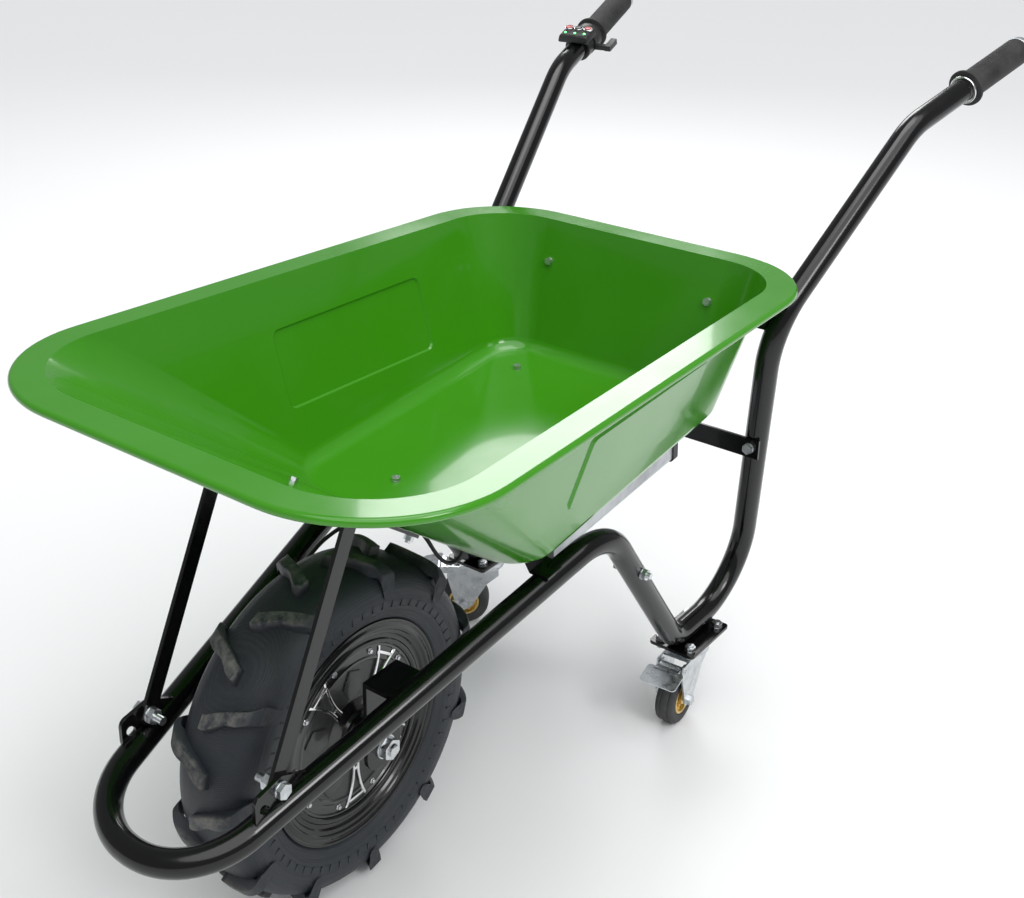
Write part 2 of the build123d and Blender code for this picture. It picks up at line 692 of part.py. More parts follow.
def caster_pedal():
    """Brake pedal with two ears on its pin; its lip hangs in front of the tyre."""
    with BuildSketch(Plane.XZ) as side:
        with BuildLine():
            Polyline(
                (PEDAL_X - 7, PEDAL_Z - 5),
                (PEDAL_X + 8, PEDAL_Z - 5),
                (PEDAL_X + 27, PEDAL_Z - 4),
                (PEDAL_X + 32, PEDAL_Z - 1),
                (PEDAL_X + 32, PEDAL_Z + 1),
                (PEDAL_X + 12, PEDAL_Z + 6.5),
                (PEDAL_X - 7, PEDAL_Z + 6.5),
                close=True,
            )
        make_face()
    ear = extrude(side.sketch, 1.0, both=True)
    body = Pos(0, 16, 0) * ear + Pos(0, -16, 0) * ear
    plate = Plane(origin=(PEDAL_X + 25, 0, PEDAL_Z + 2.6), x_dir=(1, 0, -0.28), z_dir=(0.28, 0, 1))
    body += extrude(plate * Pos(8, 0) * RectangleRounded(32, 54, 5), 2)
    body += Pos(PEDAL_X + 17, 0, PEDAL_Z + 5.0) * Box(12, 34, 2)
    body += Pos(PEDAL_X, 0, PEDAL_Z) * Rot(90, 0, 0) * Cylinder(5, 34)
    body -= Pos(PEDAL_X, 0, PEDAL_Z) * Rot(90, 0, 0) * Cylinder(PEDAL_PIN_R + RUN, 60)
    return body


def pedal_pin():
    return Pos(PEDAL_X, 0, PEDAL_Z) * Rot(90, 0, 0) * Cylinder(PEDAL_PIN_R, 2 * FORK_GAP + 2 * FORK_T + 2)


def placed(shape, side):
    """Caster piece moved under the left or right leg at its swivel angle."""
    y = LEG_Y if side == "left" else -LEG_Y
    return Pos(CASTER_X, y, 0) * Rot(0, 0, CASTER_YAW[side]) * shape


def square_on(shape, side):
    y = LEG_Y if side == "left" else -LEG_Y
    return Pos(CASTER_X, y, 0) * shape


# ---- drive wheel, built on the Z axis and then laid across the frame ----

def on_axle(shape):
    return Pos(AXLE_X, 0, AXLE_Z) * Rot(-90, 0, 0) * shape


def tyre():
    """Ag-pattern tyre: hollow carcass with bars alternating left and right."""
    base = TYRE_R - LUG_H
    with BuildSketch(Plane.XZ) as section:
        with BuildLine():
            Polyline(
                (RIM_R - 12, RIM_HALF - 3 - FIT),
                (RIM_R + FIT, RIM_HALF - 3 - FIT),
                (RIM_R + 14, TYRE_HALF - 4),
                (RIM_R + 36, TYRE_HALF),
                (base - 16, TYRE_HALF - 7),
                (base - 4, TYRE_HALF - 22),
                (base, 0),
                (base - 4, 22 - TYRE_HALF),
                (base - 16, 7 - TYRE_HALF),
                (RIM_R + 36, -TYRE_HALF),
                (RIM_R + 14, 4 - TYRE_HALF),
                (RIM_R + FIT, 3 + FIT - RIM_HALF),
                (RIM_R - 12, 3 + FIT - RIM_HALF),
                (RIM_R - 12, 17 - RIM_HALF),
                (RIM_R + 12, 15 - TYRE_HALF),
                (RIM_R + 36, 11 - TYRE_HALF),
                (base - 24, 18 - TYRE_HALF),
                (base - 12, 0),
                (base - 24, TYRE_HALF - 18),
                (RIM_R + 36, TYRE_HALF - 11),
                (RIM_R + 12, TYRE_HALF - 15),
                (RIM_R - 12, RIM_HALF - 17),
                close=True,
            )
        make_face()
    carcass = revolve(section.sketch, Axis.Z)
    crown = Pos(TYRE_R - 20, 0) * Rectangle(40, 2 * TYRE_HALF - 4)
    crown = fillet(crown.vertices().group_by(Axis.X)[-1], 18)
    limit = revolve(Plane.XZ * crown, Axis.Z)
    bar = Pos(0, 0, 27) * Rot(32, 0, 0) * Box(60, 17, 62)
    bars = []
    for k in range(LUGS):
        piece = Pos(TYRE_R - 24, 0, 0) * (bar if k % 2 else mirror(bar, about=Plane.XY))
        bars.append(Rot(0, 0, k * 360 / LUGS) * piece)
    band = limit - Cylinder(base - 8, 2 * TYRE_HALF + 10)
    lugs = Compound([b & band for b in bars])
    return carcass + lugs


def rim():
    """Steel rim rolled into the motor's outer drum."""
    seat = RIM_R - BEAD_DEPTH
    lip = RIM_HALF - 3
    half = [
        (seat - 11, 20),
        (seat, 26),
        (seat, lip),
        (RIM_R, lip),
        (RIM_R, RIM_HALF),
        (seat - 7, RIM_HALF),
        (seat - 7, lip),
        (DRUM_R - DRUM_WALL, lip),
    ]
    other = [(r, -y) for r, y in reversed(half)]
    face = make_face(Polyline(*half, *other, close=True))
    return revolve(Plane.XZ * face, Axis.Z)


def spoke_bar():
    """One pair of machined ribs on a motor cover."""
    ribs = None
    for lean in (-9.0, 9.0):
        rib = Pos(62, 0, 0) * Box(66, 5, COVER_RIB)
        rib = Rot(0, 0, lean) * rib
        ribs = rib if ribs is None else ribs + rib
    return ribs


def motor_cover():
    """Dished side cover with a bearing boss and five rib pairs."""
    disc = Pos(0, 0, COVER_Y + COVER_T / 2) * Cylinder(DRUM_R - DRUM_WALL - 0.1, COVER_T)
    disc += Pos(0, 0, COVER_Y + HUB_H / 2) * Cone(HUB_R + 8, HUB_R, HUB_H)
    disc -= Pos(0, 0, COVER_Y + HUB_H / 2 - 2) * Cylinder(BEARING_R, HUB_H)
    disc -= Pos(0, 0, COVER_Y + HUB_H) * Cylinder(AXLE_R + 1.0, 20)
    for k in range(5):
        ribs = Pos(0, 0, COVER_Y + COVER_T + COVER_RIB / 2 - 0.2) * spoke_bar()
        disc += Rot(0, 0, 18 + 72 * k) * (ribs - Cylinder(HUB_R + 6, 200))
    for k in range(SCREWS):
        disc -= Rot(0, 0, 360 / SCREWS * k) * Pos(SCREW_PCD, 0, COVER_Y) * Cylinder(SCREW_R, 30)
    return disc


def cover_screws():
    out = []
    for k in range(SCREWS):
        head = Pos(0, 0, COVER_Y + COVER_T + 1.2) * Cylinder(4, 2.4)
        shank = Pos(0, 0, COVER_Y - 2) * Cylinder(SCREW_R - 0.2, 2 * COVER_T + 5)
        out.append(Rot(0, 0, 360 / SCREWS * k) * Pos(SCREW_PCD, 0, 0) * (head + shank))
    flip = [Rot(180, 0, 0) * piece for piece in out]
    return Compound([on_axle(piece) for piece in out + flip])


def magnet_ring():
    """Band of magnets inside the drum, with the pads that take the cover screws."""
    band = Cylinder(DRUM_R - DRUM_WALL, 2 * COVER_Y) - Cylinder(SCREW_PCD - 6, 2 * COVER_Y)
    for k in range(SCREWS):
        band -= Rot(0, 0, 360 / SCREWS * k) * Pos(SCREW_PCD, 0, 0) * Cylinder(SCREW_R, 200)
    return band


def stator():
    """Wound core fixed on the axle."""
    core = Cylinder(SCREW_PCD - 8, 40) - Cylinder(AXLE_R, 60)
    slots = [Rot(0, 0, k * 20) * Pos(72, 0, 0) * Box(30, 8, 60) for k in range(18)]
    return core - slots


def bearings():
    ring = Cylinder(BEARING_R, BEARING_W) - Cylinder(AXLE_R + RUN, BEARING_W)
    z = COVER_Y + HUB_H - 2 - BEARING_W / 2
    return Compound([on_axle(Pos(0, 0, z) * ring), on_axle(Pos(0, 0, -z) * ring)])


def axle():
    """Axle with shoulders inside the hangers and flatted threaded ends."""
    bar = Cylinder(AXLE_R, 2 * (HANGER_Y - FIT))
    end = Cylinder(AXLE_THREAD_R, 2 * AXLE_HALF)
    end = end & Box(40, 2 * AXLE_FLAT, 3 * AXLE_HALF)
    return bar + end


def axle_hangers():
    """Plates welded under the rails that carry the axle ends in their slots."""
    y, z = rail_at(AXLE_X)
    mid = HANGER_Y + HANGER_T / 2
    plate = Pos(AXLE_X, mid, (AXLE_Z - 26 + z) / 2) * Box(58, HANGER_T, z - AXLE_Z + 26)
    plate = fillet(plate.edges().filter_by(Axis.Y).group_by(Axis.Z)[0], 20)
    shelf = Pos(AXLE_X, (HANGER_Y + y) / 2, z + HANGER_T / 2) * Box(58, y - HANGER_Y, HANGER_T)
    body = plate + shelf
    body -= Pos(AXLE_X, mid, AXLE_Z) * Rot(90, 0, 0) * Cylinder(AXLE_THREAD_R + 0.1, 30)
    body -= solid_front_tube()
    body = max(body.solids(), key=lambda s: s.volume)
    return Compound([body, mirrored(body)])


def axle_nuts():
    outer = HANGER_Y + HANGER_T + AXLE_WASHER_T
    nut = hex_prism((AXLE_X, outer, AXLE_Z), (0, 1, 0), NUT_AF, 10)
    nut -= Pos(AXLE_X, outer, AXLE_Z) * Rot(90, 0, 0) * Cylinder(AXLE_THREAD_R, 60)
    return Compound([nut, mirrored(nut)])


def axle_washers():
    outer = HANGER_Y + HANGER_T
    seat = Plane(origin=(AXLE_X, outer, AXLE_Z), z_dir=(0, 1, 0))
    ring = extrude(seat * (Circle(15) - Circle(AXLE_THREAD_R)), AXLE_WASHER_T)
    return Compound([ring, mirrored(ring)])


# ---- battery ----

def case_plane():
    """Plane on the tray floor's underside, above the middle of the battery case."""
    mid = sum(CASE_X) / 2
    tilt = math.radians(FLOOR_TILT)
    along = (math.cos(tilt), 0, -math.sin(tilt))
    up = (math.sin(tilt), 0, math.cos(tilt))
    return Plane(origin=(mid, 0, floor_z(mid)), x_dir=along, z_dir=up)


def case_block(length, half, top, bottom, bend):
    """Block across the case with rounded lower corners."""
    block = Pos(0, 0, (top + bottom) / 2) * Box(length, 2 * half, top - bottom)
    return fillet(block.edges().filter_by(Axis.X).group_by(Axis.Z)[0], bend)


def battery_case():
    """Aluminium box hung from the tray floor by its flange."""
    length = CASE_X[1] - CASE_X[0]
    case = case_block(length, CASE_HALF, 0, -CASE_H, CASE_BEND)
    floor = CASE_WALL - CASE_H
    case -= case_block(length + 2, CASE_HALF - CASE_WALL, -CASE_FLANGE_T, floor, CASE_BEND - CASE_WALL)
    flange = Box(length, 2 * (CASE_HALF + CASE_FLANGE_W), CASE_FLANGE_T)
    case = case_plane() * (case + Pos(0, 0, -CASE_FLANGE_T / 2) * flange)
    x, y = FLOOR_BOLTS[1]
    for side in (y, -y):
        case -= Pos(x, side, floor_z(x)) * Cylinder(TRAY_BOLT_R + 0.3, 30)
    return case


def case_cap(way):
    """Black end cap on the front (way 1) or rear (way -1) of the case."""
    length = CASE_X[1] - CASE_X[0]
    height = CASE_H - CASE_FLANGE_T
    cap = Box(CAP_T, 2 * CASE_HALF + 4, height)
    cap = fillet(cap.edges().filter_by(Axis.X), 8)
    return case_plane() * Pos(way * (length + CAP_T) / 2, 0, -CASE_FLANGE_T - height / 2) * cap


def battery_pack():
    """Wrapped cells lying on the floor of the case."""
    length = CASE_X[1] - CASE_X[0]
    low = CASE_WALL - CASE_H
    half = CASE_HALF - CASE_WALL - 4
    return case_plane() * case_block(length - 20, half, low + PACK_H, low, CASE_BEND - 2)


def cap_latch():
    """Wire latch and catch on the rear cap."""
    length = CASE_X[1] - CASE_X[0]
    x = -length / 2 - CAP_T
    plate = Pos(x - 2, 0, -CASE_H + 26) * Box(4, 60, 30)
    lever = Pos(x - 6, 0, -CASE_H + 16) * Box(5, 40, 26)
    return case_plane() * (plate + lever)


# ---- handles and controls ----

def hand_plane():
    """Plane at the left tube's rear end, looking along the grip towards the operator."""
    way = (Vector(*HAND) - Vector(*ELBOW)).normalized()
    side = Vector(0, 0, 1).cross(way).normalized()
    return Plane(origin=HAND, x_dir=side, z_dir=way)


def grip_left():
    """Rubber grip with a flange, slid over the tube."""
    body = Pos(0, 0, -GRIP_LENGTH / 2) * Cylinder(GRIP_R, GRIP_LENGTH)
    body += Pos(0, 0, -GRIP_LENGTH + 2.5) * Cylinder(26, 5)
    groove = Cylinder(GRIP_R + 1, 1.5) - Cylinder(GRIP_R - 1, 1.5)
    body -= [Pos(0, 0, 14 + 6 * k - GRIP_LENGTH) * groove for k in range(13)]
    body -= Pos(0, 0, -GRIP_LENGTH / 2) * Cylinder(TUBE_R, GRIP_LENGTH + 2)
    return hand_plane() * body


def grip_end_left():
    """Plain metal end on the grip."""
    cap = Pos(0, 0, 6) * Cylinder(GRIP_R, 12)
    cap = fillet(cap.edges().group_by(Axis.Z)[-1], 5)
    return hand_plane() * cap


def grip_ring_left():
    ring = Cylinder(GRIP_R, 6) - Cylinder(TUBE_R, 8)
    return hand_plane() * (Pos(0, 0, -GRIP_LENGTH - 3) * ring)


def control_plane():
    """Plane on the right handle just ahead of its grip; Z runs to the rear and Y points up."""
    left = hand_plane()
    way = left.z_dir
    start = Vector(*HAND) - way * (GRIP_LENGTH + 6)
    origin = Vector(start.X, -start.Y, start.Z)
    way = Vector(way.X, -way.Y, way.Z)
    side = Vector(0, 0, 1).cross(way).normalized()
    return Plane(origin=origin, x_dir=side, z_dir=way)


def throttle_body():
    """Thumb throttle clamp with its stub pivot towards the middle of the machine."""
    body = Pos(0, 0, -THROTTLE_W / 2) * Cylinder(TUBE_R + 6, THROTTLE_W)
    body += Pos(0, -TUBE_R - 5, -THROTTLE_W / 2) * Box(12, 10, THROTTLE_W)
    body -= Pos(0, 0, -THROTTLE_W / 2) * Cylinder(TUBE_R, THROTTLE_W + 2)
    return body


def throttle_lever():
    """Paddle on a ring that turns on the throttle clamp."""
    middle = -THROTTLE_W - FIT - LEVER_W / 2
    ring = Pos(0, 0, middle) * Cylinder(TUBE_R + 6, LEVER_W)
    arm = Pos(-30, -6, middle) * Box(22, 8, LEVER_W)
    paddle = Pos(-42, -6, -THROTTLE_W + 6) * Box(10, 9, 30)
    body = ring + arm + paddle
    body -= Pos(0, 0, -THROTTLE_W) * Cylinder(TUBE_R + RUN, 60)
    return body


def panel_housing():
    """Control box over its own tube clamp."""
    mid = PANEL_START - PANEL_LONG / 2
    box = Pos(0, 24, mid) * Box(PANEL_WIDE, 14, PANEL_LONG)
    box = fillet(box.edges().filter_by(Axis.Y), 4)
    clamp = Pos(0, 0, PANEL_START - 12) * Cylinder(TUBE_R + 5, 20)
    neck = Pos(0, 16, PANEL_START - 14) * Box(34, 14, 24)
    body = box + clamp + neck
    body -= Pos(0, 0, mid) * Cylinder(TUBE_R, 200)
    for k in (-1, 0, 1):
        body -= Pos(k * BUTTON_GAP, PANEL_UP, PANEL_START - 12) * Rot(90, 0, 0) * Cylinder(BUTTON_R + 0.35, 8)
        body -= Pos(k * BUTTON_GAP, PANEL_UP + 1, PANEL_START - 28) * Rot(90, 0, 0) * Cylinder(LAMP_R, 6)
    return body


def button(k):
    cap = Rot(90, 0, 0) * Cylinder(BUTTON_R, 3.6)
    cap = fillet(cap.edges().group_by(Axis.Y)[-1], 0.8)
    return Pos(k * BUTTON_GAP, PANEL_UP + 1.0, PANEL_START - 12) * cap


def lamps():
    lamp = Pos(0, PANEL_UP + 0.2, PANEL_START - 28) * Rot(90, 0, 0) * Cylinder(LAMP_R, 3.4)
    return Compound([control_plane() * Pos(k * BUTTON_GAP, 0, 0) * lamp for k in (-1, 0, 1)])


# ---- cable ----
def cable_points():
    """From the battery's front cap, down in a loop, along the right rail and into the axle's end."""
    cap_x = CASE_X[1] + CAP_T
    y1, z1 = rail_at(AXLE_X - 90)
    y2, z2 = rail_at(AXLE_X - 45)
    beside = TUBE_R + CABLE_R + 2.0
    return [
        (cap_x - 3.0, 12.0, 393.0),
        (AXLE_X - 250.0, 12.0, 393.0),
        (AXLE_X - 247.0, 6.0, 321.0),
        (AXLE_X - 215.0, -2.0, 321.0),
        (AXLE_X - 178.0, -10.0, 394.0),
        (AXLE_X - 160.0, -62.0, 407.0),
        (AXLE_X - 128.0, -116.0, 367.0),
        (AXLE_X - 90.0, beside - y1, z1),
        (AXLE_X - 45.0, beside - y2, z2),
        (AXLE_X - 35.0, -122.0, AXLE_Z + 62.0),
        (AXLE_X - 12.0, -136.0, AXLE_Z + 6.0),
        (AXLE_X, -AXLE_HALF - 0.1, AXLE_Z),
    ]


def bend_radii(points):
    """Bend radius at each inner point: as large as the shorter neighbouring run allows."""
    radii = []
    for a, b, c in zip(points, points[1:], points[2:]):
        before = Vector(*b) - Vector(*a)
        after = Vector(*c) - Vector(*b)
        half_turn = math.radians(before.get_angle(after) / 2)
        radii.append(0.45 * min(before.length, after.length) / math.tan(half_turn))
    return radii


def motor_cable():
    points = cable_points()
    return swept(FilletPolyline(*points, radius=bend_radii(points)), CABLE_R)


def write(node, shape):
    export_step(shape, "parts/" + node + ".step")


def main():
    os.makedirs("parts", exist_ok=True)
    write("front_frame_tube", front_frame_tube() - splice_hole() - mirrored(splice_hole()))
    leg = leg_tube_left()
    write("leg_tube_left", leg)
    write("leg_tube_right", mirrored(leg))
    write("front_brackets", front_brackets())
    write("axle_hangers", axle_hangers())
    brace = brace_left()
    write("brace_left", brace)
    write("brace_right", mirrored(brace))
    write("brace_bolts", brace_bolts())
    write("tray", tray())
    write("tray_bolts", tray_bolts())
    write("back_brackets", back_brackets())
    write("rear_strap", rear_strap())
    write("strap_bolts", strap_bolts())
    write("front_crossbar", front_crossbar())
    write("splice_bolts", splice_bolts())
    write("foot_plates", foot_plates())
    write("caster_bolts", caster_bolts())
    for side in ("left", "right"):
        write("caster_top_" + side, square_on(caster_top(), side))
        write("kingpin_" + side, square_on(kingpin(), side))
        write("fork_" + side, placed(caster_fork(), side))
        write("caster_tyre_" + side, placed(caster_tyre(), side))
        write("caster_hub_" + side, placed(caster_hub(), side))
        write("caster_axle_" + side, placed(caster_axle(), side))
        write("pedal_" + side, placed(caster_pedal(), side))
        write("pedal_pin_" + side, placed(pedal_pin(), side))
    write("tyre", on_axle(tyre()))
    write("rim", on_axle(rim()))
    write("motor_cover_left", on_axle(motor_cover()))
    write("motor_cover_right", on_axle(Rot(180, 0, 0) * motor_cover()))
    write("cover_screws", cover_screws())
    write("magnet_ring", on_axle(magnet_ring()))
    write("stator", on_axle(stator()))
    write("wheel_bearings", bearings())
    write("axle", on_axle(axle()))
    write("axle_nuts", axle_nuts())
    write("axle_washers", axle_washers())
    write("motor_cable", motor_cable())
    write("battery_case", battery_case())
    write("battery_caps", Compound([case_cap(1), case_cap(-1)]))
    write("battery_pack", battery_pack())
    write("cap_latch", cap_latch())
    write("grip_left", grip_left())
    write("grip_right", mirrored(grip_left()))
    write("grip_ends", Compound([grip_end_left(), mirrored(grip_end_left())]))
    write("grip_rings", Compound([grip_ring_left(), mirrored(grip_ring_left())]))
    write("throttle_body", control_plane() * throttle_body())
    write("throttle_lever", control_plane() * throttle_lever())
    write("panel_housing", control_plane() * panel_housing())
    write("button_power", control_plane() * button(-1))
    write("button_reverse", control_plane() * button(0))
    write("button_speed", control_plane() * button(1))
    write("panel_lamps", lamps())


if __name__ == "__main__":
    main()
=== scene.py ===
"""Power wheelbarrow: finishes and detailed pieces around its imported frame."""

import json
import logging
import math
from dataclasses import dataclass
from enum import Enum
from typing import Callable, Sequence

import bmesh
import bpy
from mathutils import Matrix, Vector


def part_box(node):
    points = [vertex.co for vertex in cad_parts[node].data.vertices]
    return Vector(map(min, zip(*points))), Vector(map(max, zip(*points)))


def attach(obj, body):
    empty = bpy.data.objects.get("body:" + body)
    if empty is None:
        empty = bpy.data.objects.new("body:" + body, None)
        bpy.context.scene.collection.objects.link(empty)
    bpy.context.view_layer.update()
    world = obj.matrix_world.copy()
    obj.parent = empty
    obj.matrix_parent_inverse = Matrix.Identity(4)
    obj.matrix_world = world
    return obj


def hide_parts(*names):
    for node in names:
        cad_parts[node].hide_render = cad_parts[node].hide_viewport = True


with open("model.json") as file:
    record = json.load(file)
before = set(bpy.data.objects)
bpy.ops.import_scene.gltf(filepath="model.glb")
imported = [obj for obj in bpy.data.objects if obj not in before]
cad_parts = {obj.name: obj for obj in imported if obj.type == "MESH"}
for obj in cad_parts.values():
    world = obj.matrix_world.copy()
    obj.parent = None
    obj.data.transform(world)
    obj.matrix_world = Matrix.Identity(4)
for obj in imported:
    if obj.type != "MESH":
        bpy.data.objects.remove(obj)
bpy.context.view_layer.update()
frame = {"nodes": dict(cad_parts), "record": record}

LOG = logging.getLogger("wheelbarrow")
Point = tuple[float, float, float]
Profile = Sequence[tuple[float, float]]
Piece = bpy.types.Object
Material = bpy.types.Material
Socket = bpy.types.NodeSocket
MM = 0.001


def middle(node: str) -> Vector:
    """Returns the middle of a frame node's box."""
    low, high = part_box(node)
    return (Vector(low) + Vector(high)) / 2


AXLE: Vector = middle("axle")


# ---- tools ----


class Bench:
    """Works on one mesh at a time with the ordinary modelling tools."""

    @staticmethod
    def take(*pieces: Piece) -> None:
        """Selects only these pieces and makes the last one active."""
        bpy.ops.object.select_all(action="DESELECT")
        for piece in pieces:
            piece.select_set(True)
            bpy.context.view_layer.objects.active = piece

    @staticmethod
    def start(name: str, add: Callable[..., object], **sizes: object) -> Piece:
        """Adds a primitive and names it.

        Args:
            name: Name of the new piece.
            add: The primitive's operator.
            **sizes: What the operator is told.

        Returns:
            The new piece, left in object mode.
        """
        bpy.ops.object.select_all(action="DESELECT")
        add(**sizes)
        piece = bpy.context.object
        piece.name = name
        piece.data.name = name
        return piece

    @staticmethod
    def edit(piece: Piece) -> bmesh.types.BMesh:
        """Opens a piece in edit mode with nothing selected and returns its mesh."""
        Bench.take(piece)
        bpy.ops.object.mode_set(mode="EDIT")
        bpy.ops.mesh.select_all(action="DESELECT")
        return bmesh.from_edit_mesh(piece.data)

    @staticmethod
    def close() -> None:
        """Leaves edit mode."""
        bpy.ops.object.mode_set(mode="OBJECT")

    @staticmethod
    def faces(piece: Piece, wanted: Callable[[bmesh.types.BMFace], bool]) -> int:
        """Opens a piece and selects the faces that are wanted.

        Args:
            piece: The piece to open.
            wanted: Says of a face whether it is selected.

        Returns:
            How many faces are selected.
        """
        mesh = Bench.edit(piece)
        bpy.ops.mesh.select_mode(type="FACE")
        count = 0
        for face in mesh.faces:
            if wanted(face):
                face.select_set(True)
                count += 1
        bmesh.update_edit_mesh(piece.data)
        return count

    @staticmethod
    def lathe(name: str, profile: Profile, steps: int = 96) -> Piece:
        """Turns a profile about the Z axis.

        Args:
            name: Name of the new piece.
            profile: Radius and height of each point, in metres.
            steps: Number of flats round the piece.

        Returns:
            The turned piece, with its middle at the origin.
        """
        radius, height = profile[0]
        piece = Bench.start(name, bpy.ops.mesh.primitive_plane_add, size=MM, location=(radius, 0, height))
        Bench.edit(piece)
        bpy.ops.mesh.select_mode(type="VERT")
        bpy.ops.mesh.select_all(action="SELECT")
        bpy.ops.mesh.merge(type="CENTER")
        for (r0, z0), (r1, z1) in zip(profile, profile[1:]):
            bpy.ops.mesh.extrude_vertices_move(TRANSFORM_OT_translate={"value": (r1 - r0, 0, z1 - z0)})
        bpy.ops.mesh.select_all(action="SELECT")
        bpy.ops.mesh.spin(steps=steps, angle=math.tau, center=(0, 0, 0), axis=(0, 0, 1))
        bpy.ops.mesh.select_all(action="SELECT")
        bpy.ops.mesh.remove_doubles(threshold=MM / 50)
        bpy.ops.mesh.normals_make_consistent(inside=False)
        Bench.close()
        return piece

    @staticmethod
    def lay(piece: Piece, place: Matrix) -> Piece:
        """Moves a piece's mesh by a matrix, so that its object stays at the origin."""
        Bench.take(piece)
        bpy.ops.object.transform_apply(location=True, rotation=True, scale=True)
        piece.matrix_world = place
        bpy.context.view_layer.update()
        bpy.ops.object.transform_apply(location=True, rotation=True, scale=True)
        return piece

    @staticmethod
    def copy(piece: Piece, place: Matrix) -> Piece:
        """Copies a piece with its own mesh and moves the copy by a matrix."""
        Bench.take(piece)
        bpy.ops.object.duplicate(linked=False)
        return Bench.lay(bpy.context.object, place)

    @staticmethod
    def mirror(piece: Piece, name: str) -> Piece:
        """Copies a piece to the other side of the machine."""
        twin = Bench.copy(piece, Matrix.Scale(-1, 4, (0, 1, 0)))
        twin.name = name
        Bench.edit(twin)
        bpy.ops.mesh.select_all(action="SELECT")
        bpy.ops.mesh.normals_make_consistent(inside=False)
        Bench.close()
        return twin

    @staticmethod
    def join(name: str, pieces: Sequence[Piece]) -> Piece:
        """Joins pieces into one, named for the whole."""
        Bench.take(*pieces)
        bpy.ops.object.join()
        whole = bpy.context.object
        whole.name = name
        whole.data.name = name
        return whole

    @staticmethod
    def modify(piece: Piece, kind: str, **settings: object) -> None:
        """Adds one modifier and applies it.

        Args:
            piece: The piece to finish.
            kind: Blender's name for the modifier.
            **settings: Its settings.
        """
        Bench.take(piece)
        modifier = piece.modifiers.new(kind.title(), kind)
        for key, value in settings.items():
            setattr(modifier, key, value)
        bpy.ops.object.modifier_apply(modifier=modifier.name)

    @staticmethod
    def soften(piece: Piece, width: float, segments: int = 2, angle: float = 32.0) -> Piece:
        """Rounds the sharp edges of a piece and shades it smooth between them.

        Args:
            piece: The piece to finish.
            width: Size of the rounding, in metres.
            segments: Number of flats in the rounding.
            angle: Edges that turn by more degrees than this are rounded.

        Returns:
            The same piece.
        """
        limit = math.radians(angle)
        Bench.modify(piece, "BEVEL", width=width, segments=segments, limit_method="ANGLE", angle_limit=limit)
        Bench.take(piece)
        bpy.ops.object.shade_smooth_by_angle(angle=math.radians(40))
        return piece


# ---- finishes ----


